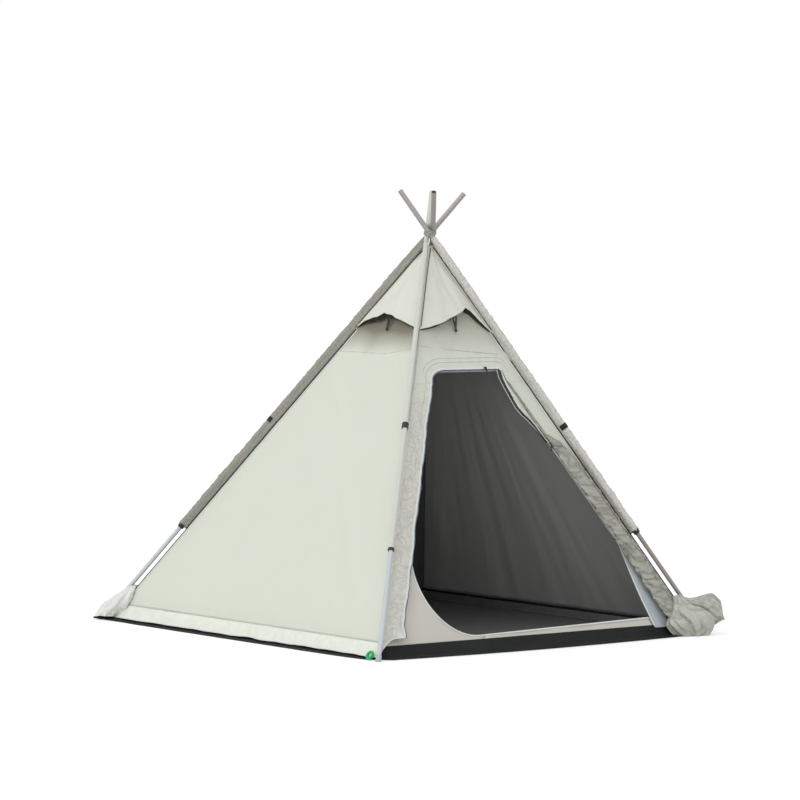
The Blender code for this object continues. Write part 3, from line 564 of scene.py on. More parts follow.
def corded(name, colour):
    """Braided cord. Its cloth coordinates run round it and along it."""
    finish = Finish(name, colour, 0.8, sheen=0.2, specular=0.3)
    braid = finish.waves(0.0016)
    finish.shade(0.5, braid, 0.45, 0.0)
    finish.bump(braid, 0.6, 0.0006)
    return finish.rough(finish.spots(120.0), 0.7, 0.9)


CREAM = (0.70, 0.725, 0.635)
CAP = (0.73, 0.745, 0.67)
SLEEVE = (0.38, 0.375, 0.33)
BLACK = (0.022, 0.022, 0.026)
EDGE = (0.78, 0.81, 0.78)
STRIP = (0.80, 0.80, 0.735)
# A lighter copy of the sleeve colour, for the door's right sleeve, which is turned from the light: painted
# light
SLEEVE_RIGHT_PAINTED_LIGHT = (0.78, 0.77, 0.71)
INNER = (0.66, 0.66, 0.65)
ROLL = (0.47, 0.47, 0.41)
INNER_ROLL = (0.48, 0.53, 0.56)
# The two pocket colours are lit and shaded copies of one cloth: the darker one, for the feet turned from the
# light, is painted shade
POCKET = (0.58, 0.59, 0.53)
PALE_POCKET = (0.84, 0.85, 0.82)

# shade sets how strong the painted shade under the cap's hem is: stronger on the side walls than on the front
wall_cloth = woven("wall_cloth", CREAM, soil=0.25, shade=1.6)
front_cloth = woven("front_cloth", scaled(CREAM, 1.03), soil=0.25, shade=0.55, crush=0.12, creases=(8, 8))
# The crushed cloths below carry painted shade along their creases
strip_cloth = woven(
    "strip_cloth", STRIP, mottle=0.5, soil=0.1, crush=0.8, creases=(16, 18), crease_shade=0.3, upper=CREAM
)
skirt_cloth = woven("skirt_cloth", (0.84, 0.87, 0.78), soil=0.2, crush=0.35, creases=(9, 7))
cap_cloth = woven("cap_cloth", CAP, crush=0.10, creases=(4, 4))
sleeve_cloth = woven("sleeve_cloth", SLEEVE, mottle=0.25, crush=1.0, creases=(34, 46))
# The door's right sleeve: a lighter copy of the sleeve cloth, painted light
right_sleeve_painted_light = woven(
    "right_sleeve_painted_light", SLEEVE_RIGHT_PAINTED_LIGHT, mottle=0.5, crush=1.0, creases=(20, 40), crease_shade=0.25
)
lining_cloth = woven("lining_cloth", (0.66, 0.635, 0.585), yarn=0.0008)
# The inner cloth's darker colour near the doorway is painted shade
inner_cloth = woven("inner_cloth", INNER, yarn=0.0008, mottle=0.2, near=(0.27, 0.27, 0.265))
# A dark copy of the inner cloth for the back inner wall: painted shade
back_lining_painted_shade = woven("back_lining_painted_shade", (0.12, 0.12, 0.118), yarn=0.0008, mottle=0.2)
roll_cloth = woven("roll_cloth", ROLL, mottle=0.2, crush=1.0, creases=(4, 13), crease_shade=0.6)
inner_roll_cloth = woven("inner_roll_cloth", INNER_ROLL, yarn=0.0008, crush=0.3, creases=(9, 4))
# The darker pocket cloth is painted shade
pocket_cloth = woven("pocket_cloth", POCKET, mottle=0.15, crush=0.7, creases=(8, 8), crease_shade=0.7)
pale_pocket_cloth = woven("pale_pocket_cloth", PALE_POCKET, mottle=0.25, crush=0.5, creases=(12, 12))
# The groundsheet inside the tent: a much lighter copy of the black sheet, painted light for the shade inside
floor_cloth_painted_light = coated("floor_cloth_painted_light", (0.17, 0.17, 0.172))
sheet_cloth = coated("sheet_cloth", (0.014, 0.0165, 0.0165))
black_webbing = webbing("black_webbing", BLACK)
roll_webbing = webbing("roll_webbing", SLEEVE)
green_webbing = webbing("green_webbing", (0.02, 0.50, 0.16))
edge_tape = binding("edge_tape", EDGE)
hem_tape = binding("hem_tape", scaled(CAP, 1.06))
seam_tape = binding("seam_tape", scaled(CREAM, 0.82))
# Dark tape; along the ridges and the cap's edges it is painted shadow
dark_tape_and_painted_shadow = binding("dark_tape_and_painted_shadow", (0.05, 0.05, 0.05))
zip_finish = zipper("zip_finish", (0.30, 0.42, 0.50), (0.035, 0.06, 0.09))
mesh_finish = netting("mesh_finish", (0.13, 0.12, 0.095))
cord_finish = corded("cord_finish", (0.50, 0.49, 0.45))
black_moulded = moulded("black_moulded", BLACK)

# The finish of each node by a part of its name, where a later line wins over an earlier one
NODE_FINISHES = {
    # The tubes other than the front one: a greyer, more metallic copy of its white paint, painted shade as
    # they are backlit
    "_tube": tube_paint("grey_tube_painted_shade", (0.43, 0.405, 0.385), 0.45, 0.42),
    "pole_door_left_tube": tube_paint("white_paint", (0.62, 0.63, 0.575), 0.1, 0.42, 0.1),
    "_leg": tube_paint("grey_metal", (0.56, 0.60, 0.63), 0.55, 0.38),
    # The door's right leg: darker and warmer than the other legs
    "pole_door_right_leg": tube_paint("right_leg_metal", (0.34, 0.31, 0.29), 0.45, 0.45),
    "_collar": black_moulded,
    "_foot": moulded("grey_moulded", (0.45, 0.48, 0.50)),
    "_tip": black_moulded,
    "front_clip": black_moulded,
    "peak_toggle": moulded("toggle_moulded", (0.42, 0.42, 0.38)),
    "vent_prop": black_moulded,
    "outer_zip_slider": black_moulded,
}


def finish_nodes():
    for name, node in NODES.items():
        for part, finish in NODE_FINISHES.items():
            if part in name:
                node.data.materials.clear()
                node.data.materials.append(finish)


# Outer walls

TOP_BELOW_HEM = 0.026
CAP_BULGE = 0.055
# Each side wall's seam across its upper part, the rise of the left one, and the front one with its fall
SEAM_LEFT = 1.535
SEAM_RISE = 0.040
SEAM_FRONT = 1.593
SEAM_FALL = 0.062
SEAM_ELSEWHERE = 1.540
# Each cap panel's hem: (share of the way across, height above the vent's sill)
CAP_HEMS = {
    "left": (
        (0.0, 0.010), (0.10, 0.045), (0.24, 0.066), (0.33, 0.073), (0.41, 0.098),
        (0.52, 0.094), (0.66, 0.083), (0.85, 0.050), (1.0, 0.016),
    ),
    "front": (
        (0.0, 0.016), (0.2, 0.045), (0.42, 0.085), (0.60, 0.115),
        (0.70, 0.136), (0.80, 0.112), (0.92, 0.030), (1.0, -0.022),
    ),
    "right": ((0.0, -0.010), (0.2, 0.060), (0.5, 0.105), (0.8, 0.062), (1.0, 0.0)),
    "back": ((0.0, 0.0), (0.25, 0.070), (0.5, 0.108), (0.75, 0.074), (1.0, 0.0)),
}
# The long folds of each wall: start and end as (u, z), width, height
WALL_FOLDS = {
    "left": [
        ((0.95, 0.10), (0.15, 0.95), 0.050, 0.004),
        ((-0.95, 0.12), (-0.35, 0.75), 0.045, 0.004),
        ((-0.30, 1.45), (0.05, 1.15), 0.035, 0.003),
        ((0.36, 1.52), (0.10, 1.22), 0.035, 0.003),
        ((0.10, 0.10), (0.35, 0.42), 0.030, 0.002),
        ((0.55, 0.09), (0.62, 0.30), 0.020, 0.002),
        ((-0.60, 0.09), (-0.30, 0.30), 0.025, 0.002),
    ],
    "back": [
        ((0.90, 0.12), (0.30, 0.85), 0.050, 0.004),
        ((-0.90, 0.10), (-0.25, 0.80), 0.050, 0.004),
        ((0.30, 1.42), (0.00, 1.10), 0.035, 0.003),
        ((-0.20, 0.10), (0.10, 0.45), 0.030, 0.003),
    ],
    "right": [
        ((0.92, 0.10), (0.35, 0.90), 0.050, 0.004),
        ((-0.95, 0.12), (-0.30, 0.70), 0.050, 0.004),
        ((-0.25, 1.45), (0.05, 1.12), 0.035, 0.003),
    ],
    "front": [
        ((-0.20, 1.62), (0.10, 1.48), 0.020, 0.002),
        ((0.34, 1.60), (0.26, 1.48), 0.014, 0.002),
        ((0.30, 1.545), (0.37, 1.50), 0.010, 0.0018),
        ((0.20, 1.53), (0.33, 1.49), 0.009, 0.0016),
    ],
}
SEEDS = {"front": 11, "right": 23, "back": 37, "left": 51}
# How much higher the left skirt's foot is than the others', and how far each skirt flares out there
LEFT_RAISED = 0.008
LEFT_FLARE = 0.020
FLARE = 0.006


def seam_height(side, share):
    """The height of the seam across the upper part of a wall."""
    if side == "left":
        return SEAM_LEFT + SEAM_RISE * smooth(0.55, 1.0, share)
    if side == "front":
        return SEAM_FRONT - SEAM_FALL * np.clip(share, 0, 1) ** 0.8
    return SEAM_ELSEWHERE + 0.0 * share


def wall_relief(side, u, z):
    """How far the wall's cloth stands out from its plane."""
    low, high = WALLS[side].ends(z)
    inside = within(low, high, u, 0.10)
    seed = SEEDS[side]
    share = (u - low) / (high - low)
    relief = -0.009 * np.sin(math.pi * np.clip(share, 0, 1)) * np.sin(math.pi * np.clip(z / 2.0, 0, 1))
    relief = relief + 0.0035 * layered_noise(u * 2.1, z * 1.4, seed, 2) * inside
    relief = relief + 0.0006 * layered_noise(u * 14, z * 9, seed + 5, 2) * inside
    for start, end, width, height in WALL_FOLDS[side]:
        relief = relief + fold(u, z, start, end, width, height) * inside
    if side != "front":
        gather = np.exp(-(((z - SKIRT_TOP) / 0.045) ** 2))
        relief = relief + 0.0022 * gradient_noise(u * 34, z * 7, seed + 9) * gather * inside
    from_edge = np.minimum(u - low, high - u)
    near_edge = np.exp(-np.clip(from_edge, 0, None) / 0.03) * smooth(0, 0.004, from_edge)
    relief = relief + 0.0014 * gradient_noise(z * 22, share * 2, seed + 13) * near_edge
    from_seam = z - seam_height(side, share)
    gather = np.exp(-((from_seam / 0.022) ** 2))
    relief = relief + 0.0016 * gradient_noise(u * 30, z * 9, seed + 17) * gather * inside
    return relief - 0.0015 * np.exp(-((from_seam / 0.004) ** 2)) * inside


def wall_top(side, share):
    """The height of the wall's upper edge, which is arched behind the cap's hem."""
    below = TOP_BELOW_HEM * np.sin(math.pi * np.clip(share, 0, 1)) ** 0.5
    return VENT_SILL + np.maximum(np.interp(share, *zip(*CAP_HEMS[side])) - below, 0)


def seam(side, u, z, width, lift, name):
    """A seam that lies on the wall's cloth along the points u, z."""
    path = WALLS[side].at(u, z, wall_relief(side, u, z))
    return tape(path, WALLS[side].normal, width, lift, seam_tape, name)


def tape(path, normal, width, lift, finish, name, crown=0.0005, slot="cream_cloth"):
    """A tape along a path on a surface with that normal. Its crown is how much higher its middle is."""
    along = np.gradient(path, axis=0)
    along /= np.linalg.norm(along, axis=1)[:, None]
    out = np.broadcast_to(normal, along.shape)
    side = np.cross(out, along)
    share = np.linspace(-0.5, 0.5, 5)[:, None, None]
    rise = lift + crown * (1 - (2 * share) ** 2)
    grid = path + side * share * width + out * rise
    coords = np.stack(np.broadcast_arrays(path_length(path), share[..., 0] * width), 2)
    return piece(name, [grid], finish, [coords], thickness=THIN)


def outer_walls():
    for side in BACK_SIDES:
        share, upward = grid_of(200, 150)
        z = SKIRT_TOP + (wall_top(side, share) - SKIRT_TOP) * upward
        u = WALLS[side].part_way(share, z)
        made, area = wall_sheet(f"outer_wall_{side}", side, u, z, wall_relief(side, u, z), wall_cloth)
        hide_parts(f"wall_{side}")
        upper = upper_seam(side)
        z = np.full(120, SKIRT_TOP + 0.006)
        a, b = WALLS[side].ends(z[0])
        u = np.linspace(a + 0.004, b - 0.004, 120)
        lower = seam(side, u, z, 0.007, 0.0008, f"seam_lower_{side}")


def upper_seam(side):
    share = np.linspace(0.004, 0.996, 160)
    z = seam_height(side, share)
    u = WALLS[side].part_way(share, z)
    return seam(side, u, z, 0.0045, 0.0011, f"seam_upper_{side}")


def skirt_relief(side, u, z):
    """How far a skirt stands out: gathered at its top, wavy and flared at its foot."""
    low, high = WALLS[side].ends(z)
    seed = SEEDS[side] + 70
    inside = within(low, high, u, 0.03)
    drop = np.clip((SKIRT_TOP - z) / SKIRT_TOP, 0, 1)
    waves = layered_noise(u * 7, z * 6, seed, 3) * 0.006 + gradient_noise(u * 24, z * 9, seed + 5) * 0.0025
    gathers = gradient_noise(u * 34, z * 7, SEEDS[side] + 9) * 0.0022
    flare = LEFT_FLARE if side == "left" else FLARE
    return (waves * drop + gathers * (1 - drop)) * inside + flare * drop


def skirts():
    for side in BACK_SIDES:
        wall = WALLS[side]
        across, upward = grid_of(260, 18)
        level = wall.part_way(across, SKIRT_FOOT)
        raised = LEFT_RAISED if side == "left" else 0.0
        foot = SKIRT_FOOT + raised + 0.004 * gradient_noise(level * 6, level * 0, SEEDS[side] + 80)
        z = foot + (SKIRT_TOP - foot) * upward
        u = wall.part_way(across, z)
        relief = skirt_relief(side, u, z)
        made, area = wall_sheet(f"hem_skirt_{side}", side, u, z, relief, skirt_cloth)
        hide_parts(f"skirt_{side}")
        edge = wall.at(u, z, relief)[1]
        hem = tape(edge, wall.normal, 0.008, 0.0008, edge_tape, f"hem_tape_{side}")


# Front wall

# A point inside the doorway, as u and z
DOORWAY_MIDDLE = (0.05, 0.7)


def door_edges(z):
    """Where the doorway's left and right edges lie at a height."""
    low, high = FRONT.ends(z)
    ease = DOOR_EASE * smooth(DOOR_TOP - 0.02, DOOR_TOP - 0.14, z)
    return low + DOOR_LEFT, high - DOOR_RIGHT - ease


def doorway_outline():
    """The doorway's edge from its lower left, over the rounded top, to its lower right: u and z."""
    count = 40
    z1 = DOOR_TOP - DOOR_ROUNDING
    up = np.linspace(0, 1, count * 2)
    side_z = DOOR_FOOT + (z1 - DOOR_FOOT) * up
    left_z = STRIP_HEIGHTS[-1] + (z1 - STRIP_HEIGHTS[-1]) * up
    left, right = door_edges(z1)
    top_left, top_right = door_edges(DOOR_TOP)
    tight = door_edges(DOOR_TOP - DOOR_TIGHT)[1]
    turn = np.linspace(0, math.pi / 2, count // 2)[1:]
    ease = DOOR_ROUNDING * 1.15
    back = turn[::-1]
    rise = np.linspace(1, 0, 12)[1:]
    level = top_left + ease + (top_right - top_left - ease - DOOR_TIGHT) * np.linspace(0, 1, count)[1:-1]
    parts = (
        (door_edges(left_z)[0], left_z),
        (left + (top_left + ease - left) * (1 - np.cos(turn)), z1 + DOOR_ROUNDING * np.sin(turn)),
        (level, np.full(count - 2, DOOR_TOP)),
        (
            tight + (top_right - DOOR_TIGHT - tight) * (1 - np.cos(back)),
            DOOR_TOP - DOOR_TIGHT + DOOR_TIGHT * np.sin(back),
        ),
        (right + (tight - right) * rise, z1 + (DOOR_ROUNDING - DOOR_TIGHT) * rise),
        (door_edges(side_z)[1][::-1][1:], side_z[::-1][1:]),
    )
    return [np.concatenate(values) for values in zip(*parts)]


def front_relief(u, z):
    """How far the front wall's cloth stands out: a slack strip with a curled foot, and a creased top."""
    low, high = FRONT.ends(z)
    left = door_edges(z)[0]
    relief = wall_relief("front", u, z)
    below = smooth(DOOR_TOP + 0.06, DOOR_TOP - 0.10, z)
    strip = below * within(low, high, u, 0.02) * smooth(0.15, -0.10, u)
    slack = layered_noise(u * 16, z * 7, 91, 3) * 0.0045 + gradient_noise(u * 5 + z * 6, z * 17, 95) * 0.0060
    relief = relief + slack * strip
    near_top = np.exp(-(((z - DOOR_TOP - 0.050) / 0.035) ** 2))
    relief = relief + 0.0042 * gradient_noise(u * 24, z * 6 + u * 3, 97) * near_top
    above = smooth(DOOR_TOP, DOOR_TOP + 0.05, z)
    relief = relief + 0.0028 * layered_noise(u * 5 + z * 3, z * 9, 99, 3) * above
    curl = smooth(0.17, 0.10, z) * smooth(0.06, 0.0, left - u) * (u < 0)
    return relief + 0.026 * curl


def front_part(name, node, u, z, finish):
    made, area = wall_sheet(name, "front", u, z, front_relief(u, z), finish)
    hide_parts(node)


def front_wall():
    """The wall left, right and over the doorway."""
    z1 = DOOR_TOP - DOOR_ROUNDING
    outline_u, outline_z = doorway_outline()
    across, upward = grid_of(36, 220)
    strip_foot = np.interp(across, STRIP_SHARES, STRIP_HEIGHTS)
    z = strip_foot + (z1 - strip_foot) * upward
    a = FRONT.ends(z)[0]
    u = a + (door_edges(z)[0] - a) * across
    front_part("front_wall_left", "door_wall_left", u, z, strip_cloth)
    share = np.linspace(0.03, 0.995, 40)
    z = np.interp(share, STRIP_SHARES, STRIP_HEIGHTS) + 0.003
    a = FRONT.ends(z)[0]
    u = a + (door_edges(z)[0] - a) * share
    tape(FRONT.at(u, z, front_relief(u, z)), FRONT.normal, 0.008, 0.0012, edge_tape, "door_strip_hem", 0.001)
    z = DOOR_FOOT + (z1 - DOOR_FOOT) * upward
    right = door_edges(z)[1]
    u = right + (FRONT.ends(z)[1] - right) * across
    front_part("front_wall_right", "door_wall_right", u, z, front_cloth)
    over = outline_z >= z1 - 1e-9
    columns = 34
    a, b = FRONT.ends(z1)
    left, right = door_edges(z1)
    before = np.linspace(a, left, columns)[:-1]
    after = np.linspace(right, b, columns)[1:]
    low_u = np.concatenate([before, outline_u[over], after])
    low_z = np.concatenate([np.full(columns - 1, z1), outline_z[over], np.full(columns - 1, z1)])
    share = np.append(0, np.hypot(np.diff(low_u), np.diff(low_z)).cumsum())
    share = share / share[-1]
    high_z = wall_top("front", share)
    high_u = FRONT.part_way(share, high_z)
    rise = np.linspace(0, 1, 90)[:, None]
    u = low_u + (high_u - low_u) * rise
    z = low_z + (high_z - low_z) * rise
    pieces = [upper_seam("front")] + doorway_edging(outline_u, outline_z)
    front_part("front_wall_top", "door_wall_top", u, z, front_cloth)


def doorway_edging(outline_u, outline_z):
    """The light binding round the doorway, the seams that follow it, and the zip on its left and top."""
    outline = np.stack([outline_u, outline_z], 1)
    away = outline - np.array(DOORWAY_MIDDLE)
    steps = np.gradient(outline, axis=0)
    aside = np.stack([-steps[:, 1], steps[:, 0]], 1)
    aside /= np.linalg.norm(aside, axis=1)[:, None]
    aside *= np.sign((aside * away).sum(1))[:, None]
    pieces = []
    for name, shift, width, lift, finish, crown, part in (
        ("door_binding", 0.005, 0.013, 0.0009, edge_tape, 0.0012, slice(0, None)),
        ("door_zip", -0.003, 0.009, -0.0012, zip_finish, 0.0008, slice(0, 150)),
        ("door_seam", 0.040, 0.004, 0.0005, seam_tape, 0.0004, slice(70, 160)),
        ("door_seam_outer", 0.062, 0.004, 0.0005, seam_tape, 0.0004, slice(84, 150)),
    ):
        u = outline_u + aside[:, 0] * shift
        z = outline_z + aside[:, 1] * shift
        line = FRONT.at(u, z, front_relief(u, z))[part]
        pieces.append(tape(line, FRONT.normal, width, lift, finish, name, crown))
    return pieces


# Vent netting and cap

# How far the netting sags inwards, and how far it lies behind the cloth
NET_SLACK = 0.010
NET_BEHIND = 0.0015


def peak_height(half):
    """The height at which the front wall is that many metres wide to each side."""
    spans = []
    for z in (VENT_SILL, PEAK[2]):
        low, high = FRONT.ends(z, CAP_GAP)
        spans.append((high - low) / 2)
    wide, narrow = spans
    return VENT_SILL + (PEAK[2] - VENT_SILL) * (wide - half) / (wide - narrow)


def vent_netting():
    """The netting of the vent, a little slack on each side."""
    patches = []
    for side in SIDE_NAMES:
        wall = WALLS[side]
        across, upward = grid_of(24, 24)
        z = VENT_SILL - 0.004 + (peak_height(CAP_TOP_HALF) - VENT_SILL) * upward
        u = wall.part_way(across, z)
        slack = NET_SLACK * np.sin(math.pi * across) * (1 - upward) ** 0.5
        patches.append(wall.at(u, z, -slack - NET_BEHIND))
    made = piece("vent_netting", patches, mesh_finish, thickness=0.0006, weld=0.0002)
    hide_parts("vent_mesh")


def cap_point(side, across, up):
    """Points of a cap panel, which bulges out over the vent, at shares of the way across and up."""
    wall = WALLS[side]
    hem = VENT_SILL + np.interp(across, *zip(*CAP_HEMS[side]))
    hem = hem + 0.004 * gradient_noise(across * 9, across * 0, SEEDS[side] + 3)
    z = hem + (peak_height(CAP_TOP_HALF) - hem) * up
    swell = np.sin(math.pi * across)
    seed = SEEDS[side] + 30
    d = CAP_GAP + CAP_BULGE * swell**0.8 * (1 - up) ** 1.8
    folds = 0.013 * layered_noise(across * 3.4 + up, up * 1.6, seed, 2)
    folds = folds + 0.0016 * gradient_noise(across * 9 + up * 3, up * 5, seed + 5)
    d = d + folds * swell * (1 - up) ** 0.4
    return wall.at(wall.part_way(across, z, CAP_GAP), z, d)


def vent_cap():
    for side in SIDE_NAMES:
        points = cap_point(side, *grid_of(64, 50))
        made = piece(f"cap_cloth_{side}", [points], cap_cloth, None, CLOTH)
        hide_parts(f"cap_{side}")
        edge = cap_point(side, np.linspace(0.004, 0.996, 110), np.full(110, 0.012))
        hem = tape(edge, WALLS[side].normal, 0.013, 0.0012, hem_tape, f"cap_hem_{side}", 0.0035)


# Sleeves and what holds them

# Where a sleeve starts above the collar, how far it goes past its solid's top, and how long it closes there
SLEEVE_START = 0.009
SLEEVE_OVERLAP = 0.022
SLEEVE_CLOSING = 0.075
# How far to each side of the middle of the band the sleeve is drawn in, and how much
BAND_HOLD = 0.025
BAND_DRAW = 0.0012
# How far the gathered cloth stands out: coarse, fine and slow folds
SLEEVE_FOLDS = (0.0040, 0.0012, 0.0026)


def keel_tip(corner, centre):
    """The nearest point of the cloth's ridge to a point of the pole."""
    covered = centre[2] > VENT_SILL + 0.02
    d = CAP_GAP + 0.002 if covered else 0.0
    low = ridge(corner, SKIRT_TOP, d)
    slope = ridge(corner, VENT_SILL, d) - low
    slope /= np.linalg.norm(slope)
    return low + slope * ((centre - low) @ slope)


def sleeve(corner):
    """Cloth gathered round a pole, drawn in by its band and at its top, and joined to the walls by a web."""
    pole = POLES[corner]
    reach = (CROSSING[2] - pole.foot[2]) / pole.axis[2]
    low = COLLAR_PLACE + SLEEVE_START
    high = reach - SLEEVE_TOP_GAP + SLEEVE_OVERLAP
    band = BAND_HEIGHT / pole.axis[2]
    columns = 40
    turns = 2 * math.pi * np.arange(columns) / columns
    sin, cos = np.sin(turns), np.cos(turns)
    seed = {"door_right": 301, "back_right": 317, "back_left": 331}[corner]
    rings = []
    for place in np.linspace(low, high, 360):
        centre = pole.at(place)
        toward = keel_tip(corner, centre) - centre
        gap = np.linalg.norm(toward)
        toward = toward / gap
        across = np.cross(pole.axis, toward)
        held = np.exp(-(((place - band) / BAND_HOLD) ** 2))
        folds = (
            gradient_noise(place * 46 + 2.2 * cos, 1.6 * sin, seed),
            gradient_noise(place * 120 + 3 * sin, 2.5 * cos, seed + 1),
            gradient_noise(np.full(columns, place * 9), cos, seed + 2),
        )
        crush = sum(height * part for height, part in zip(SLEEVE_FOLDS, folds))
        close = smooth(high - SLEEVE_CLOSING, high, place)
        radius = SLEEVE_RADIUS + crush * ((1 - held) * (1 - close)) - BAND_DRAW * held
        radius = radius - (SLEEVE_RADIUS - POLE_RADIUS - 0.0018) * close
        web = np.clip(cos, 0, 1) ** 14
        radius = radius + (gap - 0.001 - radius) * web * (1 - smooth(high - 0.06, high - 0.02, place))
        radius = np.maximum(radius, POLE_RADIUS + 0.0012)
        ring = np.outer(cos, toward) + np.outer(sin, across)
        rings.append(centre + ring * radius[:, None])
    # The door's right sleeve gets the lighter copy of the sleeve cloth: painted light
    finish = right_sleeve_painted_light if corner == "door_right" else sleeve_cloth
    made = piece(f"pole_sleeve_{corner}", [np.array(rings)], finish, None, THIN, wrap=True)
    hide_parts(f"sleeve_{corner}")
    upward = -np.cross(pole.axis, np.cross(pole.axis, UP))
    radius = SLEEVE_RADIUS + 0.0006
    cuff = open_band(pole, low + 0.004, 0.010, radius, math.pi, dark_tape_and_painted_shadow, f"sleeve_cuff_{corner}", upward)


def open_band(pole, place, width, radius, half_angle, finish, name, toward):
    """A band round the side of a pole that faces away from a direction."""
    inward = toward / np.linalg.norm(toward)
    across = np.cross(pole.axis, inward)
    turns = np.linspace(math.pi - half_angle, math.pi + half_angle, 48)
    rows = np.linspace(-0.5, 0.5, 6)[:, None] * width
    ring = np.outer(np.cos(turns), inward) + np.outer(np.sin(turns), across)
    crown = radius + 0.0006 * (1 - (2 * rows / width) ** 2)
    grid = pole.at(place) + rows[..., None] * pole.axis + ring[None] * crown[..., None]
    coords = np.stack(np.broadcast_arrays((turns * radius)[None, :], rows), 2)
    return piece(name, [grid], finish, [coords], thickness=0.0016)


def sleeve_bands():
    radius = SLEEVE_RADIUS + 0.0008
    half_angle = math.radians(125)
    for corner in SLEEVED:
        pole = POLES[corner]
        place = BAND_HEIGHT / pole.axis[2]
        toward = keel_tip(corner, pole.at(place)) - pole.at(place)
        name = f"sleeve_band_{corner}"
        made = open_band(pole, place, BAND_WIDTH, radius, half_angle, black_webbing, name, toward)
        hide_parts(f"band_{corner}")


def edge_line(side, end, inset, width, heights, finish, name, crown):
    """A line of tape along one slanting edge of a wall."""
    wall = WALLS[side]
    z = np.linspace(*heights, 160)
    u = wall.ends(z)[end] + (-inset if end else inset)
    path = wall.at(u, z, wall_relief(side, u, z) + 0.0008)
    return tape(path, wall.normal, width, 0.0006, finish, name, crown)


def cap_edge_line(side, end, inset, width, finish, name, crown):
    wall = WALLS[side]
    up = np.linspace(0.03, 0.97, 80)
    low, high = wall.ends(VENT_SILL + 0.02 + (peak_height(CAP_TOP_HALF) - VENT_SILL) * up, CAP_GAP)
    share = inset / (high - low)
    path = cap_point(side, 1 - share if end else share, up) + wall.normal * 0.001
    return tape(path, wall.normal, width, 0.0006, finish, name, crown)


def ridge_lines():
    """The line where each sleeve or pole meets the cloth, and the light piping beside it. Beside the sleeves,
    and on the front cap panel beside the bare front pole, the line is dark tape painted as the shadow in the
    gap there; elsewhere beside the bare pole it is a seam.
    """
    heights = (0.11, VENT_SILL - 0.005)
    for side in SIDE_NAMES:
        for end in (0, 1):
            corner = SIDES[side][end]
            name = f"{side}_{corner}"
            bare = corner == "door_left"
            low = 1.20 if bare else heights[0]
            # Beside the sleeves the dark line is painted shadow of the gap between sleeve and cloth
            finish = seam_tape if bare else dark_tape_and_painted_shadow
            edge_line(side, end, 0.0065, 0.010, (low, heights[1]), finish, f"ridge_seam_and_shadow_{name}", 0.0006)
            if side != "front" or not bare:
                edge_line(side, end, 0.0165, 0.008, heights, edge_tape, f"ridge_piping_{name}", 0.0030)
            # On the cap the dark line is painted shadow of the sleeve or the pole
            finish = seam_tape if bare and side == "left" else dark_tape_and_painted_shadow
            width = 0.005 if bare else 0.009
            cap_edge_line(side, end, 0.0060, width, finish, f"cap_seam_and_shadow_{name}", 0.0006)
            if not bare:
                cap_edge_line(side, end, 0.0150, 0.007, hem_tape, f"cap_piping_{name}", 0.0024)
    edge_line("front", 0, 0.007, 0.010, (0.06, 1.18), edge_tape, "ridge_binding_front", 0.0015)


# Cords at the crossing


CORD_STEPS = 96
CORD_RADIUS = 0.0026


def tube_grid(path, radius):
    """A round cord along a path."""
    along = np.gradient(path, axis=0)
    along /= np.linalg.norm(along, axis=1)[:, None]
    reference = np.where(np.abs(along[:, 2:]) > 0.9, np.array([[1.0, 0, 0]]), UP[None])
    side = np.cross(along, reference)
    side /= np.linalg.norm(side, axis=1)[:, None]
    other = np.cross(along, side)
    columns = 14
    turns = 2 * math.pi * np.arange(columns)[:, None] / columns
    ring = side[:, None] * np.cos(turns) + other[:, None] * np.sin(turns)
    return path[:, None] + ring * radius


def cord_reach(height):
    """For each direction, how far out a cord lies that is pulled tight round the four tubes at a height."""
    turns = 2 * math.pi * np.arange(CORD_STEPS) / CORD_STEPS
    normals = np.stack([np.cos(turns), np.sin(turns)], 1)
    limits = np.zeros(CORD_STEPS)
    for pole in POLES.values():
        for level in (height - 0.003, height + 0.003):
            centre = (pole.at(level / pole.axis[2]) - CROSSING)[:2]
            plan = pole.axis[:2] / np.linalg.norm(pole.axis[:2])
            stretch = POLE_RADIUS * np.sqrt(1 + ((normals @ plan) ** 2) * (1 / pole.axis[2] ** 2 - 1))
            limits = np.maximum(limits, normals @ centre + stretch)
    reach = []
    for normal in normals:
        facing = normals @ normal
        near = facing > 0.15
        reach.append((limits[near] / facing[near]).min())
    return turns, np.array(reach)


def lashing():
    """Four turns of cord round the crossing, and a knot with a short end."""
    rings = []
    for level in (-0.0095, -0.0035, 0.0025, 0.0085):
        turns, reach = cord_reach(CROSSING[2] + level)
        reach = reach + CORD_RADIUS + 0.0004
        flat = np.stack([reach * np.cos(turns), reach * np.sin(turns)], 1)
        height = CROSSING[2] + level + 0.006 * turns / (2 * math.pi)
        rings.append(np.column_stack([CROSSING[:2] + flat, height]))
    path = np.concatenate(rings)
    made = piece("crossing_lashing", [tube_grid(path, CORD_RADIUS)], cord_finish, wrap=True)
    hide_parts("lashing_cord")
    start = int(CORD_STEPS * 0.62)
    anchor = path[CORD_STEPS + start]
    outward = np.array([math.cos(turns[start]), math.sin(turns[start]), 0])
    aside = np.cross(outward, UP)
    tail = np.linspace(0, 1, 24)[:, None]
    drop = anchor + outward * (0.004 + 0.006 * np.sin(tail * 3)) + UP * (0.004 - 0.062 * tail)
    drop = drop + aside * (0.010 * tail)
    piece("lashing_end", [tube_grid(drop, 0.0022)], cord_finish, wrap=True)
    t = np.linspace(0, 2 * math.pi, 60)[:, None]
    knot = anchor + outward * (0.004 + 0.004 * np.cos(2 * t)) + UP * 0.007 * np.sin(2 * t)
    knot = knot + aside * 0.009 * np.sin(t)
    piece("lashing_knot", [tube_grid(knot, 0.0024)], cord_finish, wrap=True)


# Inner tent


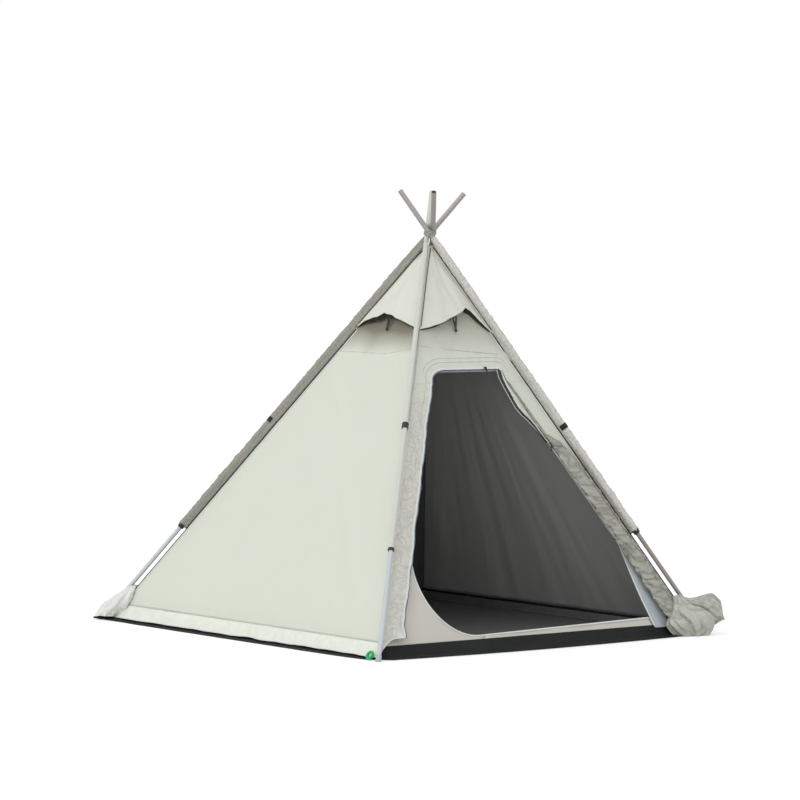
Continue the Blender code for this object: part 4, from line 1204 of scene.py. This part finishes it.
def inner_relief(side, u, z):
    """How far the inner cloth stands out from its plane: slack, with folds that fan out from the peak."""
    wall = WALLS[side]
    low, high = wall.ends(z, -INNER_GAP)
    inside = within(low, high, u, 0.10)
    seed = SEEDS[side] + 130
    relief = -0.009 * inside * (0.5 + 0.5 * layered_noise(u * 1.7, z * 0.9, seed, 2))
    peak_u = (PEAK - wall.middle) @ wall.along
    fan = (u - peak_u) / np.maximum(PEAK[2] - z, 0.15)
    relief = relief + 0.008 * layered_noise(fan * 9, z * 0.5, seed + 7, 2) * inside * smooth(1.8, 0.5, z)
    crease = 0.5 - np.abs(gradient_noise(fan * 13 + z * 1.5, z * 0.7, seed + 9)) * 2
    relief = relief + 0.004 * np.clip(crease, 0, 1) * inside * smooth(1.5, 0.3, z)
    return relief - 0.002


def inner_walls():
    for side in BACK_SIDES:
        across, upward = grid_of(140, 90)
        z = RIM_HEIGHT + (INNER_TOP - RIM_HEIGHT) * upward
        u = WALLS[side].part_way(across, z, -INNER_GAP)
        relief = -INNER_GAP + inner_relief(side, u, z)
        # The back inner wall gets the dark copy of the inner cloth: painted shade
        finish = back_lining_painted_shade if side == "back" else inner_cloth
        made, area = wall_sheet(f"inner_cloth_{side}", side, u, z, relief, finish, THIN)
        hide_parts(f"inner_wall_{side}")
    inner_front()


INNER_STEPS = 30


def inner_outline():
    """The inner doorway's outline as u and z, from its lower left corner anticlockwise."""
    d = -INNER_GAP
    left_sill = RIM_HEIGHT + INNER_SILL_LEFT
    right_sill = RIM_HEIGHT + INNER_SILL_RIGHT
    top = DOOR_TOP - 0.010
    corners = [
        (FRONT.ends(left_sill, d)[0] + INNER_LEFT, left_sill),
        (FRONT.ends(right_sill, d)[1] - INNER_RIGHT, right_sill),
    ]
    a, b = FRONT.ends(top, d)
    corners += [(b - INNER_RIGHT, top), (a + INNER_LEFT, top)]
    radii = (0.320, 0.100, 0.060, 0.070)
    arcs = []
    for i, corner in enumerate(corners):
        here = np.array(corner)
        before = np.array(corners[i - 1]) - here
        after = np.array(corners[(i + 1) % 4]) - here
        before /= np.linalg.norm(before)
        after /= np.linalg.norm(after)
        half = math.acos(before @ after) / 2
        bisector = (before + after) / np.linalg.norm(before + after)
        middle = here + bisector * radii[i] / math.sin(half)
        first = here + before * radii[i] / math.tan(half) - middle
        last = here + after * radii[i] / math.tan(half) - middle
        sweep = math.pi - 2 * half
        part = np.linspace(0, 1, INNER_STEPS)[:, None]
        weights = np.sin((1 - part) * sweep) * first + np.sin(part * sweep) * last
        arcs.append(middle + weights / math.sin(sweep))
    points = []
    for arc, following in zip(arcs, arcs[1:] + arcs[:1]):
        points.append(arc)
        share = np.linspace(0, 1, INNER_STEPS + 2)[1:-1, None]
        points.append(arc[-1] + (following[0] - arc[-1]) * share)
    return np.concatenate(points)


def to_outer_edge(point, middle):
    """Where a line from the middle through a point meets the inner front wall's outer edge."""
    ray = point - middle
    reach = []
    for level in (RIM_HEIGHT, INNER_TOP):
        if abs(ray[1]) > 1e-9:
            reach.append((level - middle[1]) / ray[1])
    for which in (0, 1):
        base = FRONT.ends(0.0, -INNER_GAP)[which]
        tilt = FRONT.ends(1.0, -INNER_GAP)[which] - base
        under = ray[0] - tilt * ray[1]
        if abs(under) > 1e-9:
            reach.append((base + tilt * middle[1] - middle[0]) / under)
    return middle + ray * min(step for step in reach if step > 0)


def inner_front():
    """The inner front wall round its doorway, in five parts."""
    hole = inner_outline()
    middle = hole.mean(0)
    outer = np.array([to_outer_edge(point, middle) for point in hole])
    share = np.linspace(0, 1, 26)[:, None, None]
    grid = hole[None] + (outer - hole)[None] * share
    keep = hole[:, 0] < FRONT.ends(hole[:, 1], -INNER_GAP)[1] - INNER_RIGHT - 0.02
    start = int(np.argmin(keep))
    line = np.roll(hole, -start, axis=0)[np.roll(keep, -start)]
    path = FRONT.at(line[:, 0], line[:, 1], -INNER_GAP)
    edge = tape(path, FRONT.normal, 0.010, 0.0008, edge_tape, "inner_door_binding", 0.001, "inner_cloth")
    quarter = 2 * INNER_STEPS
    half = INNER_STEPS // 2
    ends = [0, INNER_STEPS] + [quarter * count + half for count in (1, 2, 3)] + [4 * quarter]
    parts = []
    for place, first, last in zip(("corner", "bottom", "right", "top", "left"), ends, ends[1:]):
        u, z = grid[:, np.arange(first, last + 1) % len(hole)].transpose(2, 0, 1)
        relief = -INNER_GAP - 0.001 + 0.002 * layered_noise(u * 6, z * 6, 207, 3)
        name = f"inner_front_{place}"
        made, area = wall_sheet(name, "front", u, z, relief, lining_cloth, THIN)
        parts.append(made)
    for part in parts:
        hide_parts("inner_wall_front")


# Groundsheet

# Where the loose corner of its lip lies at the back left, and how many times higher it is than elsewhere
LOOSE_CORNER = (-1.243, 1.224)
LOOSE_LIFT = 3.0
# How many points each side of a ring has
RING_SIDE = 61
# How far in the floor lies from the tub's rim, its height, and how deep the rim's cloth is turned in
FLOOR_INSET = 0.004
FLOOR_HEIGHT = 0.006
TURNED_IN = 0.054


def sheet_ring(out, z, front_out, wave=0.0, seed=0):
    """The groundsheet's outline at one height."""
    reach = CLOTH_HALF + out
    corner = CLOTH_HALF - CORNER_CUT
    ring = []
    for side in SIDE_NAMES:
        wall = WALLS[side]
        u = np.linspace(-corner, corner, RING_SIDE)
        share = {"front": 1 - (u / corner) ** 2, "left": 0.45 * (1 - (u / corner) ** 8)}
        swell = front_out * share.get(side, 0.0 * u)
        ripple = wave * gradient_noise(u * 7, u * 0 + 0.5, seed + SEEDS[side]) * (1 - np.abs(u / corner) ** 6)
        ring.append(wall.along * u[:, None] - wall.inward * (reach + swell + ripple)[:, None] + UP * z)
    points = np.concatenate(ring)
    gap = np.array([*LOOSE_CORNER, z * LOOSE_LIFT]) - points
    pull = smooth(0.26, 0.13, np.linalg.norm(gap, axis=1)) * front_out / FRONT_BULGE
    return points + gap * pull[:, None]


def ground_tub():
    """The black tub of the groundsheet, from the lip on the ground to its rim, and the floor inside it."""
    at_rim = -FRONT.depth(RIM_HEIGHT, -INNER_GAP)
    at_lip = -FRONT.depth(LIP_HEIGHT, -INNER_GAP / 2)
    rings = []
    for share in np.linspace(0, 1, 8):
        level = LIP_HEIGHT * 0.2 + share * LIP_HEIGHT * 0.3
        rings.append(sheet_ring(LIP_OUT, level, FRONT_BULGE, 0.003, 411))
    for share in np.linspace(0.1, 1, 5):
        out = LIP_OUT + (at_lip - LIP_OUT) * share
        level = LIP_HEIGHT * (0.5 + 0.5 * share)
        rings.append(sheet_ring(out, level, FRONT_BULGE * (1 - share / 2), 0.003, 411))
    for share in np.linspace(0.08, 1, 12):
        out = at_lip + (at_rim - at_lip) * share
        level = LIP_HEIGHT + (RIM_HEIGHT - LIP_HEIGHT) * share
        rings.append(sheet_ring(out, level, FRONT_BULGE / 2 * (1 - share), 0.004 * (1 - share), 431))
    inner = []
    for share in np.linspace(0.15, 1, 5):
        inner.append(sheet_ring(at_rim - FLOOR_INSET, RIM_HEIGHT - FLOOR_INSET - share * TURNED_IN, 0.0))
    rings.append(inner[0])
    edge = sheet_ring(at_rim - FLOOR_INSET - 0.0005, FLOOR_HEIGHT, 0.0)
    for share in np.linspace(1, 0, 50):
        ring = edge * np.array([share, share, 1])
        creases = 0.003 * layered_noise(ring[:, 0] * 3.5, ring[:, 1] * 3.5, 441, 3)
        ring[:, 2] = FLOOR_HEIGHT + np.clip(creases, -0.002, 0.006) * (1 - share**8)
        inner.append(ring)
    points = np.array(rings)
    made = piece("ground_tub", [points], sheet_cloth, None, wrap=True)
    # The floor inside uses the lighter copy of the sheet: painted light
    middle = piece("ground_floor", [np.array(inner)], floor_cloth_painted_light, None, wrap=True)
    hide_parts("groundsheet")
    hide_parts("groundsheet")


# Doors, rolled and tied back


def rolled(
    name, node, stations, back, finish, turns, seed, crush, pieces, tie=-1.0
):
    """Cloth folded over itself: each section is a spiral that keeps the cloth's width, and it is smooth
    where it is tied."""
    heights, places, halves, depths = np.array(stations).T
    z = np.linspace(heights[0], heights[-1], 260)[:, None]
    half = np.interp(z, heights, halves)
    depth = np.interp(z, heights, depths)
    t = np.linspace(0, 1, turns * 30)[None, :]
    angle = 0.35 * math.pi - 2 * math.pi * turns * t
    sin, cos = np.sin(angle), np.cos(angle)
    shrink = 1 - 0.93 * t
    pleats = 0.10 * np.sin(3 * angle + 5 * z + 0.6) + 0.06 * np.sin(5 * angle - 7 * z)
    creases = 0.5 - np.abs(gradient_noise(z * 13 + 1.6 * cos, 1.5 * sin + z * 2, seed)) * 1.8
    crumple = layered_noise(z * 22 + cos * 2, sin * 2 + z * 4, seed + 3, 3)
    free = 1 - np.exp(-(((z - tie) / 0.022) ** 2))
    swell = 1 + (pleats + 0.46 * creases + 0.14 * crumple) * (0.3 + 0.7 * shrink) * crush * free
    centre = FRONT.ends(z)[1] - np.interp(z, heights, places)
    u = centre + half * shrink * cos * (1 + 0.6 * (swell - 1))
    d = back + depth / 2 * (1 + shrink * sin * np.where(sin > 0, swell, 0.95))
    points = FRONT.at(u, z + 0 * u, d)
    lengths = path_length(points[len(z) // 2])
    coords = np.stack(np.broadcast_arrays(lengths[None, :], z * FRONT.slant), 2)
    made = piece(name, [points], finish, [coords])
    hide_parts(node)


# The free edge of the outer door above its tie: height, then its inner and outer places from the right ridge
FLAP = [
    (1.450, 0.131, 0.126),
    (1.424, 0.146, 0.134),
    (1.400, 0.158, 0.140),
    (1.331, 0.172, 0.143),
    (1.288, 0.180, 0.145),
    (1.244, 0.186, 0.146),
    (1.205, 0.178, 0.146),
    (1.178, 0.162, 0.145),
    (1.150, 0.158, 0.145),
    (1.100, 0.155, 0.145),
    (1.055, 0.150, 0.140),
]


def door_flap():
    """The narrow fold of the outer door that hangs beside the doorway's top corner."""
    heights, inner, outer = np.array(FLAP)[::-1].T
    z = np.linspace(heights[0], heights[-1], 160)[:, None]
    low = np.interp(z, heights, inner)
    high = np.interp(z, heights, outer)
    t = np.linspace(0, 1, 40)[None, :]
    width = low - high
    curl = smooth(0.75, 1.0, t)
    place = high + width * (np.minimum(t / 0.8, 1) - 0.35 * curl * (t > 0.8) * (t - 0.8) / 0.2)
    d = 0.004 - 0.010 * np.sin(math.pi * t) * width / 0.06 + 0.004 * curl
    d = d + 0.0025 * gradient_noise(z * 18, t * 2, 811) * smooth(0, 0.2, t)
    points = FRONT.at(FRONT.ends(z)[1] - place, z + 0 * t, d)
    lines = [piece("door_flap", [points], strip_cloth, None, 0.001)]

    def behind(shift):
        """A line behind the flap's free edge, which comes together towards the tie."""
        gathered = shift * smooth(1.060, 1.190, z)
        return FRONT.at(FRONT.ends(z)[1] - low - gathered, z, -0.004)[:, 0]

    for name, path, width, lift, finish, crown in (
        ("edge", points[:, 27], 0.005, 0.0016, edge_tape, 0.0015),
        ("seam", points[:, 1], 0.0035, 0.0022, dark_tape_and_painted_shadow, 0.0006),
        ("zip", behind(0.009), 0.020, 0.0, dark_tape_and_painted_shadow, 0.0008),
        ("piping", behind(0.0210), 0.004, 0.0, edge_tape, 0.0008),
    ):
        lines.append(tape(path, FRONT.normal, width, lift, finish, f"door_flap_{name}", crown))
    return lines


# Stations of the two rolls: height, place from the right ridge, half width, depth
OUTER_ROLL = (
    (0.020, 0.090, 0.052, 0.030),
    (0.060, 0.100, 0.064, 0.040),
    (0.130, 0.108, 0.070, 0.042),
    (0.220, 0.108, 0.070, 0.040),
    (0.450, 0.096, 0.060, 0.040),
    (0.750, 0.094, 0.060, 0.040),
    (0.980, 0.096, 0.052, 0.034),
    (1.036, 0.100, 0.038, 0.026),
    (1.060, 0.102, 0.036, 0.026),
    (1.080, 0.118, 0.022, 0.018),
    (1.105, 0.136, 0.010, 0.012),
    (1.387, 0.140, 0.008, 0.008),
)
INNER_STATIONS = (
    (0.050, 0.214, 0.062, 0.014),
    (0.100, 0.202, 0.062, 0.016),
    (0.200, 0.180, 0.056, 0.018),
    (0.300, 0.156, 0.046, 0.020),
    (0.400, 0.134, 0.030, 0.018),
    (0.480, 0.116, 0.016, 0.014),
    (0.530, 0.090, 0.014, 0.014),
    (0.600, 0.074, 0.018, 0.016),
    (0.800, 0.070, 0.020, 0.018),
    (1.372, 0.072, 0.014, 0.012),
)
TIE_HEIGHT = 1.050
TIE_PLACE = 0.101
TIE_HALF = 0.0405
TIE_DEPTH = 0.0310
TIE_WIDTH = 0.026


def inner_roll_edge():
    """The white binding along the inner door's free edge."""
    heights, places, halves, _ = np.array(INNER_STATIONS).T
    z = np.linspace(0.055, 0.490, 80)
    place = np.interp(z, heights, places) + 0.98 * np.interp(z, heights, halves)
    path = FRONT.at(FRONT.ends(z)[1] - place, z, -INNER_GAP + 0.012)
    return [tape(path, FRONT.normal, 0.011, 0.0, edge_tape, "inner_door_edge", 0.001, "inner_cloth")]


def doors():
    rolled(
        "rolled_outer_door",
        "outer_door",
        OUTER_ROLL,
        THIN,
        roll_cloth,
        turns=10,
        seed=501,
        crush=1.35,
        pieces=door_flap(),
        tie=TIE_HEIGHT,
    )
    rolled(
        "rolled_inner_door",
        "inner_door",
        INNER_STATIONS,
        THIN - INNER_GAP,
        inner_roll_cloth,
        turns=12,
        seed=531,
        crush=0.45,
        pieces=inner_roll_edge(),
    )
    roll_strap()


def roll_strap():
    """The strap round the outer door's roll, and its two loose ends."""
    turns = np.linspace(-0.08, 1.08, 40) * math.pi
    centre = FRONT.ends(TIE_HEIGHT)[1] - TIE_PLACE
    rows = np.linspace(-0.5, 0.5, 5)[:, None] * TIE_WIDTH
    u = centre + TIE_HALF * np.cos(turns)[None, :] + rows * 0
    d = 0.0012 + np.clip(TIE_DEPTH * np.sin(turns), 0, 1)[None, :] + rows * 0
    z = TIE_HEIGHT + rows + 0 * turns[None, :]
    shift = FRONT.ends(z)[1] - FRONT.ends(TIE_HEIGHT)[1]
    coords = np.stack(np.broadcast_arrays((turns * 0.034)[None, :], rows), 2)
    strap = piece("roll_strap", [FRONT.at(u + shift, z, d)], roll_webbing, [coords], 0.0014)
    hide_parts("door_tie")
    down = np.linspace(0, 1, 16)
    for index, (sideways, drop) in enumerate(((0.010, 0.052), (-0.006, 0.040))):
        u = centre - TIE_HALF - sideways * down - 0.004 * np.sin(3 * down)
        z = TIE_HEIGHT + 0.010 - drop * down
        path = FRONT.at(u, z, 0.010 + 0.006 * np.sin(math.pi * down))
        tape(path, FRONT.normal, 0.007, 0.0, black_webbing, f"roll_tie_end_{index}", 0.0004, "sleeve_cloth")


# Gathered corners


# The gathered cloth round two pole feet: shift outward, lowest level, then height and radius of its rings
POCKETS = {
    "back_right": (
        (0.0, 0.004),
        ((0.0, 0.052), (0.040, 0.056), (0.090, 0.048), (0.140, 0.038), (0.190, 0.026), (0.230, 0.018)),
    ),
    "back_left": (
        (-0.020, 0.024),
        ((0.0, 0.070), (0.040, 0.080), (0.090, 0.076), (0.130, 0.060), (0.165, 0.040), (0.195, 0.018)),
    ),
}
# The two bunches of cloth at the doorway's right foot: start, end, half width, half depth, seed
BUNCHES = (
    ((1.030, -1.125, 0.220), (1.105, -1.236, -0.035), (0.112, -0.004, 0.016), (0.010, -0.050, 0.022), 71),
    ((1.085, -1.122, 0.192), (1.268, -1.250, 0.086), (0.022, -0.020, 0.066), (-0.034, -0.038, 0.0), 83),
)


def bunch(start, end, wide, deep, seed):
    """A gathered handful of cloth whose pleats fan out from its start."""
    t = np.linspace(0, 1, 130)[:, None]
    turn = np.linspace(0, 2 * math.pi, 260, endpoint=False)[None, :]
    sin, cos = np.sin(turn), np.cos(turn)
    twist = turn + 0.55 * gradient_noise(t * 1.6, cos + t * 0.4, seed + 4)
    pleats = 0.40 * np.abs(np.sin(3.5 * twist + seed)) + 0.22 * np.abs(np.sin(8 * twist + 1.3 * seed))
    crumple = layered_noise(cos * 1.4 + t * 2.2, sin * 1.4 + t, seed, 3)
    opened = smooth(0, 0.55, t)
    profile = (0.30 + 0.70 * opened) * np.sqrt(np.clip(1 - smooth(0.55, 1.0, t) ** 2, 0.0009, 1))
    out = profile * (0.74 + (pleats + 0.10 * crumple) * (0.25 + 0.75 * opened))
    along = t * (1 + 0.10 * gradient_noise(np.cos(twist) * 2, np.sin(twist) * 2, seed + 6) * opened)
    points = np.array(start) + (np.array(end) - start) * along[..., None]
    points = points + np.array(wide) * (out * cos)[..., None] + np.array(deep) * (out * sin)[..., None]
    points[..., 2] = np.maximum(points[..., 2], 0.002)
    return points


def gathered(corner):
    """Gathered cloth round a pole's foot."""
    pole = POLES[corner]
    out = np.array([*CORNERS[corner], 0.0]) / math.sqrt(2)
    (shift, lowest), outline = POCKETS[corner]
    heights, radii = np.array(outline).T
    level = np.linspace(lowest, heights[-1], 60)[:, None]
    turns = np.linspace(0, 2 * math.pi, 120, endpoint=False)
    sin, cos = np.sin(turns), np.cos(turns)
    ring = 0.11 * np.sin(5 * turns + 30 * level) + 0.05 * np.sin(9 * turns)
    seed = 600 + len(corner) * 7
    swell = 1 + ring + 0.12 * layered_noise(cos * 2.4 + level * 16, sin * 2.4, seed, 3)
    radius = np.interp(level, heights, radii) * swell
    arm = np.stack([cos, sin, 0 * turns], 1)
    return pole.at(level / pole.axis[2]) + out * shift + arm[None] * radius[..., None]


def pockets():
    """The gathered cloth round three pole feet."""
    for corner in SLEEVED:
        in_front = corner == "door_right"
        patches = [bunch(*shape) for shape in BUNCHES] if in_front else [gathered(corner)]
        patches = [keep_outside(corner, patch) for patch in patches]
        # The two feet turned from the light get the darker pocket cloth: painted shade
        finish = pale_pocket_cloth if corner == "back_left" else pocket_cloth
        made = piece(f"corner_pocket_{corner}", patches, finish, None, 0.001, wrap=True)
        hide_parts(f"pocket_{corner}")


def keep_outside(corner, points):
    """Moves points that would lie inside the tent out onto the nearer wall."""
    walls = [WALLS[side] for side, ends in SIDES.items() if corner in ends]
    stands = np.stack([(points - wall.middle) @ wall.normal for wall in walls])
    nearest = stands.argmax(0)
    short = np.clip(0.008 - stands.max(0), 0, None)
    for index, wall in enumerate(walls):
        points = points + (short * (nearest == index))[..., None] * wall.normal
    return points


# Peg loop

# The loop's size beside the ring's, where it lies from it, its height above the ground and its own radius
LOOP_SHARE = 0.80
LOOP_SHIFT = (-0.042, -0.012, 0.0)
LOOP_HEIGHT = 0.010
LOOP_RADIUS = 0.0075


def peg_loop():
    """The thick green loop at the front corner, in the place of the ring."""
    mesh = NODES["peg_ring"].data
    points = np.array([vertex.co for vertex in mesh.vertices])
    centre = points.mean(0)
    axes = np.linalg.eigh(np.cov((points - centre).T))[1]
    radius = LOOP_SHARE * float(np.linalg.norm(points - centre, axis=1).mean())
    turns = np.linspace(0, 2 * math.pi, 61)[:-1, None]
    path = centre + radius * (axes[:, 2] * np.cos(turns) + axes[:, 1] * np.sin(turns))
    around = np.concatenate([path, path[:2]]) + np.array(LOOP_SHIFT)
    around[:, 2] -= max(0.0, around[:, 2].min() - LOOP_HEIGHT)
    made = piece("peg_loop", [tube_grid(around, LOOP_RADIUS)], green_webbing, wrap=True)
    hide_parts("peg_ring")


# Stage, light and camera

CAMERA_PLACE = (-14.716066, -17.053429, 2.465478)
CAMERA_FORWARD = (0.651121, 0.757116, -0.053082)
CAMERA_RIGHT = (0.758662, -0.651266, 0.016897)
CAMERA_UP = (0.021777, 0.051274, 0.998447)
LENS = 182.10
SENSOR = 36.0
# Half the floor's side, its level just under the tent, and the direction that most of the light comes from
FLOOR_HALF = 120.0
FLOOR_LEVEL = -0.0005
LIGHT_FROM = (-0.80, -0.20, 0.565)
WHITE = (1, 1, 1, 1)


def camera():
    """The camera of the photograph: a long lens, almost level."""
    data = bpy.data.cameras.new("photo_camera")
    data.lens = LENS
    data.sensor_width = SENSOR
    data.clip_start = 1.0
    data.clip_end = 400.0
    made = new_object("photo_camera", data)
    turn = Matrix([CAMERA_RIGHT, CAMERA_UP, tuple(-c for c in CAMERA_FORWARD)]).transposed()
    made.matrix_world = Matrix.Translation(CAMERA_PLACE) @ turn.to_4x4()
    bpy.context.scene.camera = made


def floor():
    """The plain floor, which glows a little where the camera sees it."""
    finish = Finish("floor_finish", (0.74, 0.74, 0.74), 0.9, specular=0.1)
    matt = finish.shader.outputs[0]
    glow = finish.add("Emission", {"Color": WHITE, "Strength": 0.42}).outputs[0]
    both = finish.add("AddShader", {0: matt, 1: glow}).outputs[0]
    path = finish.add("LightPath").outputs["Is Camera Ray"]
    mixed = finish.add("MixShader", {0: path, 1: matt, 2: both}).outputs[0]
    finish.set(finish.tree.nodes["Material Output"], "Surface", mixed)
    mesh = bpy.data.meshes.new("studio_floor")
    corners = [(x * FLOOR_HALF, y * FLOOR_HALF, FLOOR_LEVEL) for x, y in ((-1, -1), (1, -1), (1, 1), (-1, 1))]
    mesh.from_pydata(corners, [], [(0, 1, 2, 3)])
    mesh.materials.append(finish.material)
    new_object("studio_floor", mesh)


def world():
    """Soft light that is strongest from the left, and plain white where the camera or a mirror looks."""
    made = bpy.data.worlds.new("studio_world")
    made.use_nodes = True
    made.node_tree.nodes.clear()
    nodes = Nodes(made.node_tree)
    place = nodes.add("TexCoord").outputs["Generated"]
    facing = nodes.add("VectorMath", {0: place, 1: LIGHT_FROM}, operation="DOT_PRODUCT").outputs["Value"]
    reach = {"Value": facing, "From Min": -0.35, "From Max": 1.0, "To Min": 0.54, "To Max": 1.10}
    spread = nodes.add("MapRange", reach, interpolation_type="SMOOTHSTEP").outputs[0]
    soft = nodes.add("Background", {"Color": WHITE, "Strength": spread}).outputs[0]
    plain = nodes.add("Background", {"Color": WHITE, "Strength": 1.0}).outputs[0]
    path = nodes.add("LightPath").outputs
    seen = path["Is Camera Ray"]
    for key in ("Is Glossy Ray", "Is Transmission Ray"):
        seen = nodes.add("Math", {0: seen, 1: path[key]}, operation="MAXIMUM").outputs[0]
    mixed = nodes.add("MixShader", {0: seen, 1: soft, 2: plain}).outputs[0]
    nodes.add("OutputWorld", {"Surface": mixed})
    bpy.context.scene.world = made


def sun():
    data = bpy.data.lights.new("studio_sun", "SUN")
    data.energy = 0.35
    data.angle = math.radians(40)
    made = new_object("studio_sun", data)
    made.rotation_mode = "QUATERNION"
    made.rotation_quaternion = Vector(LIGHT_FROM).to_track_quat("Z", "Y")


camera()
floor()
world()
sun()
finish_nodes()
outer_walls()
skirts()
front_wall()
vent_netting()
vent_cap()
for sleeved in SLEEVED:
    sleeve(sleeved)
sleeve_bands()
ridge_lines()
lashing()
inner_walls()
ground_tub()
doors()
pockets()
peg_loop()
bpy.context.scene.view_settings.view_transform = "Standard"
